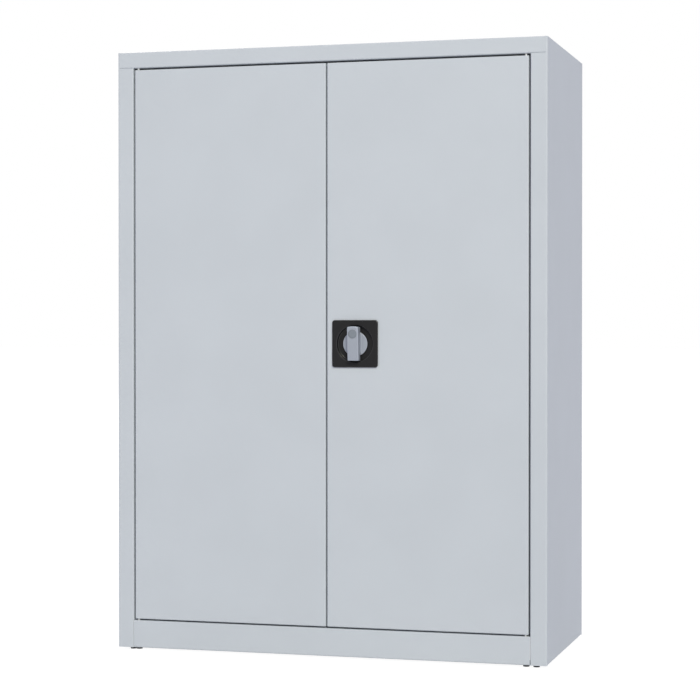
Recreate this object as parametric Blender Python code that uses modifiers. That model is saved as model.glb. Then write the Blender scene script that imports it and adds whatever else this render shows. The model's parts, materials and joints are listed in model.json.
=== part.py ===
"""A two-door sheet steel storage cabinet with a turning knob lock, modelled piece by piece.

Metres, +Z up. The front faces -Y, the right door is at +X. The origin is at the middle of the
bounding box's foot: on the floor, half way between the knob's tip and the back.
"""

import math

import bmesh
import bpy
from mathutils import Matrix, Vector

# Driving dimensions
WIDTH = 0.800
BODY_DEPTH = 0.380
HEIGHT = 1.100

# Sheet metal
SHEET = 0.0010
BEND = 0.0025
RELIEF = 0.0040
FOLD = 0.0150
SEAT = 0.0003
OVERRUN = 0.0020

# Carcass
POST_WIDTH = 0.0300
POST_RETURN = 0.0280
POST_LIP = 0.0120
BAND_HEIGHT = 0.0295
RAIL_FLANGE = 0.0250
STOP_LIP = 0.0120
PLINTH_HEIGHT = 0.0500
PLINTH_RETURN = 0.0200
STEP_HEIGHT = 0.0150
BACK_FLANGE = 0.0200

# Doors
DOOR_GAP = 0.0030
DOOR_DEPTH = 0.0180
DOOR_LIP = 0.0120
STIFFENER_WEB = 0.0500
STIFFENER_FOOT = 0.0120
STIFFENER_DEPTH = 0.0140
STRIP_WIDTH = 0.0180

# Hinges
PIVOT_INSET = 0.0054
PIVOT_DEPTH = 0.0060
PIN_RADIUS = 0.0020
PIN_HEAD_RADIUS = 0.0027
PIN_HEAD = 0.0020
PIN_REACH = 0.0060
BUSH_RADIUS = 0.0031
BUSH_COLLAR_RADIUS = 0.0039
BUSH_COLLAR = 0.0012
BUSH_LENGTH = 0.0060

# Feet
FOOT_DROP = 0.0055
FOOT_PLATE = 0.0030
TALL_NUB_RADIUS = 0.0057
TALL_NUB_INSET = 0.0218
TALL_NUB_DEPTH = 0.0200
SHORT_NUB_RADIUS = 0.0057
SHORT_NUB_INSET = 0.0380
SHORT_NUB_DEPTH = 0.0090
SHORT_NUB_DROP = 0.0034
FOOT_MARGIN = 0.0020

# Shelves and their rails
SHELF_HEIGHT = 0.0250
SHELF_LIP = 0.0120
SHELF_FRONT_GAP = 0.0320
SHELF_SIDE_GAP = 0.0015
SHELF_COUNT = 2
SLOT_PITCH = 0.0500
SLOT_HEIGHT = 0.0060
SLOT_WIDTH = 0.0120
RAIL_WIDTH = 0.0240
RAIL_DEPTH = 0.0100
RAIL_INSET = 0.0500
RAIL_FOOT_GAP = 0.0100
RAIL_HEAD_GAP = 0.0050
CLIP_SHEET = 0.0020
CLIP_WIDTH = 0.0100
CLIP_TONGUE = 0.0140
CLIP_HOOK = 0.0070

# Buffers
BUFFER_RADIUS = 0.0045
BUFFER_INSET = 0.1000

# Lock plate and dish
LOCK_X = 0.0538
LOCK_RISE = 0.5598
PLATE_SIZE = 0.0844
PLATE_CORNER = 0.0050
PLATE_PROUD = 0.0030
DISH_RADIUS = 0.0335
DISH_WALL = 0.0015
DISH_FLOOR = 0.0060
BOSS_RADIUS = 0.0040
BOSS_OFFSET = 0.0240
BOSS_LENGTH = 0.0035

# Knob
DISC_RADIUS = 0.0230
DISC_PROUD = 0.0014
BAR_WIDTH = 0.0198
BAR_HALF_LENGTH = 0.0312
BAR_PROUD_TOP = 0.0200
BAR_PROUD_FOOT = 0.0150
BAR_EDGE = 0.0010
SHANK_RADIUS = 0.0080
SPINDLE_SIZE = 0.0080
CYLINDER_RADIUS = 0.0075
CYLINDER_OFFSET = 0.0174
CYLINDER_LENGTH = 0.0120
KEYWAY_WIDTH = 0.0014
KEYWAY_LENGTH = 0.0070
KEYWAY_DEPTH = 0.0040

# Lock case, cam and rods
ROD_DEPTH = 0.0128
ROD_RADIUS = 0.0025
ROD_TIP_RADIUS = 0.0010
ROD_TIP = 0.0040
ROD_TIP_GAP = 0.0005
ROD_TRAVEL = 0.0120
ROD_CLEARANCE = 0.0005
CAM_RADIUS = 0.0140
CAM_THICKNESS = 0.0025
CAM_PIN_RADIUS = 0.0020
CAM_PIN_CLEARANCE = 0.0006
YOKE_THICKNESS = 0.0020
YOKE_EDGE = 0.0026
CASE_WALL = 0.0015
CASE_HALF_WIDTH = 0.0175
CASE_HALF_HEIGHT = 0.0360
CASE_EAR = 0.0120
SCREW_RADIUS = 0.0017
SCREW_HEAD_RADIUS = 0.0035
SPINDLE_SCREW_HEAD_RADIUS = 0.0055
SCREW_HEAD = 0.0018
SCREW_LENGTH = 0.0040

# Rod guides
GUIDE_WIDTH = 0.0140
GUIDE_DEPTH = 0.0080
GUIDE_HEIGHT = 0.0100
GUIDE_EAR = 0.0023
GUIDE_EAR_OFFSET = 0.0055
GUIDE_EAR_DROP = 0.0018
GUIDE_EAR_DEPTH = 0.0050

ROUND_SIDES = 24
BEND_SEGMENTS = 2

# Places worked out from the sizes above
FRONT_Y = (BAR_PROUD_TOP - BODY_DEPTH) / 2
BACK_Y = FRONT_Y + BODY_DEPTH
BASE_Z = FOOT_DROP
HALF_WIDTH = WIDTH / 2
WEB_INSIDE = HALF_WIDTH - SHEET
OPENING_X = HALF_WIDTH - POST_WIDTH
BAND_Z = HEIGHT - BAND_HEIGHT
LEDGE_Z = BASE_Z + PLINTH_HEIGHT
FLOOR_Z = LEDGE_Z + STEP_HEIGHT
CORNER_X = HALF_WIDTH - BEND - SHEET
DOOR_LOW = LEDGE_Z + DOOR_GAP
DOOR_HIGH = BAND_Z - DOOR_GAP
DOOR_OUTER = OPENING_X - DOOR_GAP
DOOR_INNER = DOOR_GAP / 2
PIVOT_X = DOOR_OUTER - PIVOT_INSET
PIVOT_Y = FRONT_Y + PIVOT_DEPTH
STEP_Y = FRONT_Y + RAIL_FLANGE
SHELF_FRONT = FRONT_Y + SHELF_FRONT_GAP
BACK_SHEET_Y = BACK_Y - SHEET - SEAT
LOCK_Z = BASE_Z + LOCK_RISE
ROD_Y = FRONT_Y + ROD_DEPTH
CAM_Y = FRONT_Y + DISH_FLOOR + DISH_WALL + 2 * SEAT
CAM_PIN_ORBIT = ROD_TRAVEL / (2 * math.sin(math.radians(45)))
BACK_SHEET_FRONT = BACK_SHEET_Y - SHEET
TOP_HALF = CORNER_X - 2 * SEAT
PLINTH_HALF = OPENING_X - SEAT
LIP_HALF = PLINTH_HALF - SEAT
RAIL_FACE_X = WEB_INSIDE - SEAT - RAIL_DEPTH
RAIL_LOW = FLOOR_Z + RAIL_FOOT_GAP
RAIL_HIGH = HEIGHT - SHEET - FOLD - RAIL_HEAD_GAP
RAIL_PLACES = {"front": FRONT_Y + RAIL_INSET, "back": BACK_Y - RAIL_INSET - RAIL_WIDTH}
SLOT_COUNT = int((RAIL_HIGH - RAIL_LOW) / SLOT_PITCH)
SIDES = {"left": -1, "right": 1}
SHELF_NAMES = ("lower", "upper")


def clear_scene():
    for item in list(bpy.data.objects):
        bpy.data.objects.remove(item, do_unlink=True)


def new_collection(name):
    group = bpy.data.collections.new(name)
    bpy.context.scene.collection.children.link(group)
    return group


def new_material(name, colour, roughness, metallic):
    paint = bpy.data.materials.new(name)
    paint.use_nodes = True
    shader = paint.node_tree.nodes["Principled BSDF"]
    shader.inputs["Base Color"].default_value = (*colour, 1.0)
    shader.inputs["Roughness"].default_value = roughness
    shader.inputs["Metallic"].default_value = metallic
    return paint


def add_object(name, bm, finish=None):
    """Puts a bmesh into a new object: a part with a finish, or a cutter without one."""
    mesh = bpy.data.meshes.new(name)
    bm.to_mesh(mesh)
    bm.free()
    item = bpy.data.objects.new(name, mesh)
    if finish:
        PARTS.objects.link(item)
        mesh.materials.append(new_material(name, *FINISHES[finish]))
    else:
        CUTTERS.objects.link(item)
        item.hide_render = True
        item.display_type = "WIRE"
    return item


def box(name, low, high, finish=None, corner=0):
    """A box between two corners; `corner` rounds its edges."""
    bm = bmesh.new()
    low, high = Vector(low), Vector(high)
    size = high - low
    placed = Matrix.Translation((low + high) / 2) @ Matrix.Diagonal((*size, 1))
    bmesh.ops.create_cube(bm, size=1, matrix=placed)
    item = add_object(name, bm, finish)
    if corner:
        round_edges(item, corner)
    return item


def rod(name, radius, start, end, finish=None, sides=ROUND_SIDES):
    """A straight round bar between two points."""
    start, end = Vector(start), Vector(end)
    run = end - start
    turn = run.to_track_quat("Z", "Y").to_matrix().to_4x4()
    bm = bmesh.new()
    bmesh.ops.create_cone(
        bm,
        cap_ends=True,
        segments=sides,
        radius1=radius,
        radius2=radius,
        depth=run.length,
        matrix=Matrix.Translation((start + end) / 2) @ turn,
    )
    return add_object(name, bm, finish)


def turned(name, profile, place, finish=None, turn=None, closed=False):
    """A turned piece: `profile` lists (radius, height) down its outer side."""
    bm = bmesh.new()
    points = [bm.verts.new((radius, 0, height)) for radius, height in profile]
    for upper, lower in zip(points, points[1:]):
        bm.edges.new((upper, lower))
    if closed:
        bm.edges.new((points[-1], points[0]))
    item = add_object(name, bm, finish)
    screw = item.modifiers.new("Turn", "SCREW")
    screw.steps = screw.render_steps = ROUND_SIDES
    screw.use_merge_vertices = True
    screw.merge_threshold = SHEET / 100
    item.location = place
    if turn:
        item.rotation_euler = turn
    return item


def round_edges(item, width, angle=30, segments=BEND_SEGMENTS):
    bevel = item.modifiers.new("Round", "BEVEL")
    bevel.width = width
    bevel.segments = segments
    bevel.limit_method = "ANGLE"
    bevel.angle_limit = math.radians(angle)
    return bevel


def boolean(item, tool, operation):
    step = item.modifiers.new(tool.name, "BOOLEAN")
    step.operation = operation
    step.object = tool
    step.solver = "EXACT"


def cut(item, *tools):
    for tool in tools:
        boolean(item, tool, "DIFFERENCE")


def join(item, *tools):
    for tool in tools:
        boolean(item, tool, "UNION")


def slide_edges(bm, edges, offset):
    """Extrudes loose edges by an offset and returns the new outer edges."""
    made = bmesh.ops.extrude_edge_only(bm, edges=edges)["geom"]
    verts = [part for part in made if isinstance(part, bmesh.types.BMVert)]
    bmesh.ops.translate(bm, verts=verts, vec=offset)
    moved = set(verts)
    return [
        part
        for part in made
        if isinstance(part, bmesh.types.BMEdge) and moved.issuperset(part.verts)
    ]


def folded(path, stations, across, along):
    """The outer face of a folded sheet: `path` crosses the folds, `stations` run along them."""
    bm = bmesh.new()
    start = [bm.verts.new(across(point) + along * stations[0]) for point in path]
    edges = [bm.edges.new(pair) for pair in zip(start, start[1:])]
    for near, far in zip(stations, stations[1:]):
        edges = slide_edges(bm, edges, along * (far - near))
    return bm


def edges_in(bm, low, high):
    """The open edges whose two ends lie in a box."""
    slack = SEAT / 10

    def inside(point):
        return all(a - slack <= p <= b + slack for a, p, b in zip(low, point, high))

    return [
        edge
        for edge in bm.edges
        if edge.is_boundary and all(inside(vert.co) for vert in edge.verts)
    ]


def fold_on(bm, low, high, *offsets):
    """Adds a flange on the open edges in a box, one bend for each offset."""
    edges = edges_in(bm, low, high)
    for offset in offsets:
        edges = slide_edges(bm, edges, Vector(offset))


def sheet_part(name, bm, facing, finish="grey_paint", thickness=SHEET, bend=BEND):
    """Bends a folded face and gives it its thickness on the side away from `facing`."""
    bmesh.ops.recalc_face_normals(bm, faces=bm.faces)
    widest = max(bm.faces, key=lambda face: face.calc_area())
    if widest.normal.dot(Vector(facing)) < 0:
        bmesh.ops.reverse_faces(bm, faces=bm.faces)
    item = add_object(name, bm, finish)
    round_edges(item, bend)
    wall = item.modifiers.new("Sheet", "SOLIDIFY")
    wall.thickness = thickness
    wall.offset = -1
    wall.use_even_offset = True
    return item


def pan(width, height, depth, lip):
    """A tray's outer face in XY, its returns going down and its lips turned inwards."""
    bm = bmesh.new()
    bmesh.ops.create_grid(bm, x_segments=1, y_segments=1, size=1)
    bmesh.ops.scale(bm, verts=bm.verts, vec=(width / 2, height / 2, 1))
    rim = slide_edges(bm, list(bm.edges), Vector((0, 0, -depth)))
    rim = slide_edges(bm, rim, Vector((0, 0, 0)))
    for vert in {vert for edge in rim for vert in edge.verts}:
        vert.co.x -= math.copysign(lip, vert.co.x)
        vert.co.y -= math.copysign(lip, vert.co.y)
    return bm


def in_plan(side):
    return lambda point: Vector((side * point[0], point[1], 0))


def in_section(point):
    return Vector((0, point[0], point[1]))


def side_panel(name, side):
    """One sheet: back flange, web, front post with its return and lip, and a bottom flange."""
    path = [
        (HALF_WIDTH - BACK_FLANGE, BACK_Y),
        (HALF_WIDTH, BACK_Y),
        (HALF_WIDTH, BACK_Y - RELIEF),
        (HALF_WIDTH, FRONT_Y + RELIEF),
        (HALF_WIDTH, FRONT_Y),
        (OPENING_X, FRONT_Y),
        (OPENING_X, FRONT_Y + POST_RETURN),
        (OPENING_X + POST_LIP, FRONT_Y + POST_RETURN),
    ]
    bm = folded(path, (BASE_Z, HEIGHT), in_plan(side), Vector((0, 0, 1)))
    web = side * HALF_WIDTH
    low = (web, FRONT_Y + RELIEF, BASE_Z)
    high = (web, BACK_Y - RELIEF, BASE_Z)
    fold_on(bm, low, high, (-side * FOLD, 0, 0))
    panel = sheet_part(name, bm, (side, 0, 0))

    def notch(label, x, y, z):
        xs = sorted(side * value for value in x)
        low, high = zip(xs, y, z)
        return box(f"{name}_{label}", low, high)

    inner = OPENING_X - OVERRUN
    behind_post = FRONT_Y + POST_RETURN + OVERRUN
    above = HEIGHT + OVERRUN
    cut(
        panel,
        notch(
            "band_notch",
            (inner, CORNER_X),
            (FRONT_Y - OVERRUN, behind_post),
            (BAND_Z - SEAT, above),
        ),
        notch(
            "back_notch",
            (HALF_WIDTH - BACK_FLANGE - OVERRUN, CORNER_X),
            (BACK_Y - SHEET - OVERRUN, BACK_Y + OVERRUN),
            (HEIGHT - FOLD - SEAT, above),
        ),
        notch(
            "foot_notch",
            (inner, OPENING_X + POST_LIP + OVERRUN),
            (FRONT_Y + BEND + SEAT, behind_post),
            (BASE_Z - OVERRUN, BASE_Z + SHEET + FOOT_PLATE + 2 * SEAT),
        ),
    )
    return panel


def round_holes(panel, label, places, radius, low, high):
    """Drills upright holes at (x, y) places between two heights."""
    for index, (x, y) in enumerate(places):
        name = f"{panel.name}_{label}_{index}"
        cut(panel, rod(name, radius, (x, y, low), (x, y, high)))


def pivot_places():
    return [(side * PIVOT_X, PIVOT_Y) for side in SIDES.values()]


def top_panel():
    """Top sheet with its front band, the ledge behind the band and the lip that stops the doors."""
    back_edge = BACK_Y - RELIEF
    path = [
        (STEP_Y, BAND_Z - STOP_LIP),
        (STEP_Y, BAND_Z),
        (FRONT_Y, BAND_Z),
        (FRONT_Y, HEIGHT),
        (FRONT_Y + RELIEF, HEIGHT),
        (back_edge, HEIGHT),
        (BACK_Y, HEIGHT),
        (BACK_Y, HEIGHT - FOLD),
    ]
    bm = folded(path, (-TOP_HALF, TOP_HALF), in_section, Vector((1, 0, 0)))
    for side in SIDES.values():
        low = (side * TOP_HALF, FRONT_Y + RELIEF, HEIGHT)
        high = (side * TOP_HALF, back_edge, HEIGHT)
        reach = side * (WEB_INSIDE - SEAT - TOP_HALF)
        fold_on(bm, low, high, (reach, 0, 0), (0, 0, -FOLD))
    panel = sheet_part("top_panel", bm, (0, 0, 1))
    levels = (BAND_Z - OVERRUN, BAND_Z + SHEET + OVERRUN)
    for label, side in SIDES.items():
        xs = sorted((side * LIP_HALF, side * (TOP_HALF + OVERRUN)))
        low = (xs[0], STEP_Y - BEND - SHEET, BAND_Z - STOP_LIP - OVERRUN)
        high = (xs[1], STEP_Y + SHEET + OVERRUN, levels[1])
        cut(panel, box(f"lip_notch_{label}", low, high))
    round_holes(panel, "bush_hole", pivot_places(), BUSH_RADIUS + SEAT, *levels)
    round_holes(panel, "rod_hole", [(LOCK_X, ROD_Y)], ROD_RADIUS + ROD_CLEARANCE, *levels)
    return panel


def bottom_panel():
    """Plinth, door ledge, step that stops the doors, floor and back fold in one sheet."""
    floor_front = FRONT_Y + POST_RETURN + SEAT
    floor_back = BACK_SHEET_FRONT - SEAT
    path = [
        (FRONT_Y + PLINTH_RETURN, BASE_Z),
        (FRONT_Y, BASE_Z),
        (FRONT_Y, LEDGE_Z),
        (STEP_Y, LEDGE_Z),
        (STEP_Y, FLOOR_Z),
        (floor_front, FLOOR_Z),
        (floor_back - RELIEF, FLOOR_Z),
        (floor_back, FLOOR_Z),
        (floor_back, FLOOR_Z - FOLD),
    ]
    bm = folded(path, (-PLINTH_HALF, PLINTH_HALF), in_section, Vector((1, 0, 0)))
    for side in SIDES.values():
        low = (side * PLINTH_HALF, floor_front, FLOOR_Z)
        high = (side * PLINTH_HALF, floor_back - RELIEF, FLOOR_Z)
        reach = side * (WEB_INSIDE - SEAT - PLINTH_HALF)
        fold_on(bm, low, high, (reach, 0, 0), (0, 0, -FOLD))
    panel = sheet_part("bottom_panel", bm, (0, 0, 1))
    levels = (LEDGE_Z - SHEET - OVERRUN, LEDGE_Z + OVERRUN)
    round_holes(panel, "bush_hole", pivot_places(), BUSH_RADIUS + SEAT, *levels)
    round_holes(panel, "rod_hole", [(LOCK_X, ROD_Y)], ROD_RADIUS + ROD_CLEARANCE, *levels)
    nubs = [(s * (HALF_WIDTH - SHORT_NUB_INSET), FRONT_Y + SHORT_NUB_DEPTH) for s in SIDES.values()]
    levels = (BASE_Z - OVERRUN, BASE_Z + SHEET + OVERRUN)
    round_holes(panel, "foot_hole", nubs, SHORT_NUB_RADIUS + SEAT, *levels)
    return panel


def back_panel():
    """A flat sheet in front of the back flanges, clear of the side panels' inner bends."""
    low = (-TOP_HALF, BACK_SHEET_FRONT, BASE_Z)
    high = (TOP_HALF, BACK_SHEET_Y, HEIGHT - BEND - SEAT)
    return box("back_panel", low, high, "grey_paint")


def slot_low(index):
    return RAIL_LOW + SLOT_PITCH * (index + 1 / 2)


def shelf_rail(name, side, front):
    """A channel welded to the side panel, with a slot for a shelf clip at every step."""
    outer = WEB_INSIDE - SEAT
    path = [
        (outer, front),
        (RAIL_FACE_X, front),
        (RAIL_FACE_X, front + RAIL_WIDTH),
        (outer, front + RAIL_WIDTH),
    ]
    bm = folded(path, (RAIL_LOW, RAIL_HIGH), in_plan(side), Vector((0, 0, 1)))
    rail = sheet_part(name, bm, (-side, 0, 0))
    middle = front + RAIL_WIDTH / 2
    xs = sorted((side * (RAIL_FACE_X - OVERRUN), side * (RAIL_FACE_X + SHEET + OVERRUN)))
    low = (xs[0], middle - SLOT_WIDTH / 2, slot_low(0))
    high = (xs[1], middle + SLOT_WIDTH / 2, slot_low(0) + SLOT_HEIGHT)
    slots = box(f"{name}_slots", low, high)
    row = slots.modifiers.new("Row", "ARRAY")
    row.count = SLOT_COUNT
    row.use_relative_offset = False
    row.use_constant_offset = True
    row.constant_offset_displace = (0, 0, SLOT_PITCH)
    cut(rail, slots)
    return rail


def shelf_slot(level):
    """The slot that carries a shelf: the shelves share the height evenly."""
    return round(SLOT_COUNT * (level + 1) / (SHELF_COUNT + 1))


def shelf_clip(name, side, middle, level):
    """A bent steel tongue that hooks through a rail's slot; the shelf lies on it."""
    top = slot_low(shelf_slot(level)) + SEAT + CLIP_SHEET
    hook = RAIL_FACE_X + SHEET + SEAT + CLIP_SHEET
    path = [(RAIL_FACE_X - CLIP_TONGUE, top), (hook, top), (hook, top - CLIP_HOOK)]
    start = middle - CLIP_WIDTH / 2
    across = lambda point: Vector((side * point[0], 0, point[1]))
    bm = folded(path, (start, start + CLIP_WIDTH), across, Vector((0, 1, 0)))
    return sheet_part(name, bm, (0, 0, 1), "zinc", CLIP_SHEET)


def shelf(name, level):
    """A pressed tray turned upside down, resting on four clips."""
    half = RAIL_FACE_X - SHELF_SIDE_GAP
    back = BACK_SHEET_FRONT - SHELF_SIDE_GAP
    top = slot_low(shelf_slot(level)) + CLIP_SHEET + 2 * SEAT + SHELF_HEIGHT
    bm = pan(2 * half, back - SHELF_FRONT, SHELF_HEIGHT, SHELF_LIP)
    item = sheet_part(name, bm, (0, 0, 1))
    item.location = (0, (SHELF_FRONT + back) / 2, top)
    return item


def door(name, side):
    """A welded pan: face, returns and lips, with pivot holes at its outer edge."""
    width = DOOR_OUTER - DOOR_INNER
    bm = pan(width, DOOR_HIGH - DOOR_LOW, DOOR_DEPTH, DOOR_LIP)
    bmesh.ops.rotate(bm, verts=bm.verts, matrix=Matrix.Rotation(math.radians(90), 3, "X"))
    middle = side * (DOOR_INNER + DOOR_OUTER) / 2
    bmesh.ops.translate(bm, verts=bm.verts, vec=(middle, FRONT_Y, (DOOR_LOW + DOOR_HIGH) / 2))
    leaf = sheet_part(name, bm, (0, -1, 0))
    for low, high in door_edge_levels():
        label = f"pin_hole_{'low' if low < LOCK_Z else 'high'}"
        round_holes(leaf, label, [(side * PIVOT_X, PIVOT_Y)], PIN_RADIUS + SEAT, low, high)
    return leaf


def door_edge_levels():
    """Height spans that run through a door's bottom and top returns."""
    reach = SHEET + OVERRUN
    return (
        (DOOR_LOW - OVERRUN, DOOR_LOW + reach),
        (DOOR_HIGH - reach, DOOR_HIGH + OVERRUN),
    )


def cut_for_lock(leaf):
    """The right door's opening for the lock dish, and its holes for the rods and the guide."""
    radius = DISH_RADIUS + DISH_WALL + SEAT
    start = (LOCK_X, FRONT_Y - OVERRUN, LOCK_Z)
    end = (LOCK_X, FRONT_Y + SHEET + OVERRUN, LOCK_Z)
    cut(leaf, rod("dish_hole", radius, start, end))
    for index, (low, high) in enumerate(door_edge_levels()):
        place = [(LOCK_X, ROD_Y)]
        round_holes(leaf, f"rod_hole_{index}", place, ROD_RADIUS + ROD_CLEARANCE, low, high)
    for side, (low, high) in guide_ears(SEAT).items():
        cut(leaf, box(f"ear_slot_{side}", low, high))


def guide_ears(spread=0):
    """Corner pairs of the lower guide's two ears, which show in the gap below the door."""
    ears = {}
    for label, side in SIDES.items():
        middle = LOCK_X + side * GUIDE_EAR_OFFSET
        low = (
            middle - GUIDE_EAR / 2 - spread,
            ROD_Y - GUIDE_EAR_DEPTH / 2 - spread,
            DOOR_LOW - GUIDE_EAR_DROP,
        )
        high = (
            middle + GUIDE_EAR / 2 + spread,
            ROD_Y + GUIDE_EAR_DEPTH / 2 + spread,
            DOOR_LOW + SHEET + GUIDE_EAR_DROP,
        )
        ears[label] = (low, high)
    return ears


def rod_guide(name, low):
    """A plastic block inside the door that keeps a locking rod in line."""
    corner = (LOCK_X - GUIDE_WIDTH / 2, ROD_Y - GUIDE_DEPTH / 2, low)
    opposite = (LOCK_X + GUIDE_WIDTH / 2, ROD_Y + GUIDE_DEPTH / 2, low + GUIDE_HEIGHT)
    guide = box(name, corner, opposite, "black_plastic", SHEET)
    levels = (low - OVERRUN, low + GUIDE_HEIGHT + OVERRUN)
    round_holes(guide, "bore", [(LOCK_X, ROD_Y)], ROD_RADIUS + ROD_CLEARANCE, *levels)
    return guide


def rod_guides():
    rod_guide("rod_guide_upper", DOOR_HIGH - SHEET - SEAT - GUIDE_HEIGHT)
    lower = rod_guide("rod_guide_lower", DOOR_LOW + SHEET + SEAT)
    for side, (low, high) in guide_ears().items():
        join(lower, box(f"guide_ear_{side}", low, high))


def stiffener(name, side):
    """A hat section up the middle of a door, spot welded to the back of its face."""
    middle = side * (DOOR_INNER + DOOR_OUTER) / 2
    foot_y = FRONT_Y + 2 * SHEET + SEAT
    web_y = FRONT_Y + STIFFENER_DEPTH
    half = STIFFENER_WEB / 2
    path = [
        (-half - STIFFENER_FOOT, foot_y),
        (-half, foot_y),
        (-half, web_y),
        (half, web_y),
        (half, foot_y),
        (half + STIFFENER_FOOT, foot_y),
    ]
    margin = DOOR_LIP + STIFFENER_FOOT
    across = lambda point: Vector((middle + point[0], point[1], 0))
    stations = (DOOR_LOW + margin, DOOR_HIGH - margin)
    bm = folded(path, stations, across, Vector((0, 0, 1)))
    return sheet_part(name, bm, (0, 1, 0))


def meeting_strip():
    """A flat bar behind the left door's free edge; its nose stands in the middle gap."""
    front = FRONT_Y + DOOR_DEPTH + SEAT
    low = (-STRIP_WIDTH, front, DOOR_LOW)
    high = (0, front + SHEET, DOOR_HIGH)
    return box("meeting_strip", low, high, "grey_paint")


def hinge_pin(name, side, high):
    """A shouldered steel pin riveted in the door's return; it turns in the bush."""
    tip = DOOR_GAP + PIN_REACH
    seat = -SHEET - SEAT
    profile = [
        (0, tip),
        (PIN_RADIUS, tip),
        (PIN_RADIUS, SHEET),
        (PIN_RADIUS + SHEET, SHEET),
        (PIN_RADIUS + SHEET, SEAT),
        (PIN_RADIUS, SEAT),
        (PIN_RADIUS, seat),
        (PIN_HEAD_RADIUS, seat),
        (PIN_HEAD_RADIUS, seat - PIN_HEAD),
        (0, seat - PIN_HEAD),
    ]
    return hinge_part(name, profile, side, high, DOOR_HIGH, DOOR_LOW, "zinc")


def hinge_bush(name, side, high):
    """A plastic sleeve in the carcass ledge, with its collar on the hidden side."""
    bore = PIN_RADIUS + SEAT
    collar = SHEET + SEAT
    profile = [
        (bore, BUSH_LENGTH),
        (BUSH_RADIUS, BUSH_LENGTH),
        (BUSH_RADIUS, collar + BUSH_COLLAR),
        (BUSH_COLLAR_RADIUS, collar + BUSH_COLLAR),
        (BUSH_COLLAR_RADIUS, collar),
        (BUSH_RADIUS, collar),
        (BUSH_RADIUS, 0),
        (bore, 0),
    ]
    return hinge_part(name, profile, side, high, BAND_Z, LEDGE_Z, "white_plastic", True)


def hinge_part(name, profile, side, high, top_level, low_level, finish, closed=False):
    """Stands a turned hinge part on the pivot axis; the lower ones are upside down."""
    place = (side * PIVOT_X, PIVOT_Y, top_level if high else low_level)
    turn = None if high else (math.radians(180), 0, 0)
    return turned(name, profile, place, finish, turn, closed)


def door_buffer(name, side, high):
    """A rubber button on the stop face, which the closed door's lip meets."""
    level = BAND_Z - (STOP_LIP + BEND) / 2 if high else (LEDGE_Z + FLOOR_Z) / 2
    front = (side * BUFFER_INSET, FRONT_Y + DOOR_DEPTH + SEAT, level)
    back = (side * BUFFER_INSET, STEP_Y - SEAT, level)
    return rod(name, BUFFER_RADIUS, front, back, "rubber")


def foot(name, side, rear):
    """A plastic corner shoe: a plate on the bottom flanges with a tall and a short nub."""

    def depth(value):
        return BACK_Y - value if rear else FRONT_Y + value

    top = BASE_Z + SHEET + SEAT + FOOT_PLATE
    outer = HALF_WIDTH - SHORT_NUB_INSET - SHORT_NUB_RADIUS - FOOT_MARGIN
    xs = sorted((side * outer, side * CORNER_X))
    reach = TALL_NUB_DEPTH + TALL_NUB_RADIUS + FOOT_MARGIN
    ys = sorted((depth(BEND + SHEET), depth(reach)))
    low = (xs[0], ys[0], top - FOOT_PLATE)
    shoe = box(name, low, (xs[1], ys[1], top), "black_plastic")
    tall = (side * (HALF_WIDTH - TALL_NUB_INSET), depth(TALL_NUB_DEPTH))
    short = (side * (HALF_WIDTH - SHORT_NUB_INSET), depth(SHORT_NUB_DEPTH))
    inside = top - FOOT_PLATE / 2
    join(
        shoe,
        rod(f"{name}_tall_nub", TALL_NUB_RADIUS, (*tall, 0), (*tall, inside)),
        rod(
            f"{name}_short_nub",
            SHORT_NUB_RADIUS,
            (*short, BASE_Z - SHORT_NUB_DROP),
            (*short, inside),
        ),
    )
    return shoe


def facing_front():
    """Turns a lathe axis so that its heights stand out of the door."""
    return (math.radians(90), 0, 0)


def lock_place():
    return (LOCK_X, FRONT_Y, LOCK_Z)


def lock_box(name, xs, depths, zs, finish=None):
    """A box measured from the knob's axis and back from the door's face."""
    low = (LOCK_X + xs[0], FRONT_Y + depths[0], LOCK_Z + zs[0])
    high = (LOCK_X + xs[1], FRONT_Y + depths[1], LOCK_Z + zs[1])
    return box(name, low, high, finish)


def lock_bar(name, radius, x, z, depths, sides=ROUND_SIDES):
    """A round bar from front to back, measured like `lock_box`."""
    start = (LOCK_X + x, FRONT_Y + depths[0], LOCK_Z + z)
    end = (LOCK_X + x, FRONT_Y + depths[1], LOCK_Z + z)
    return rod(name, radius, start, end, sides=sides)


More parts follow.
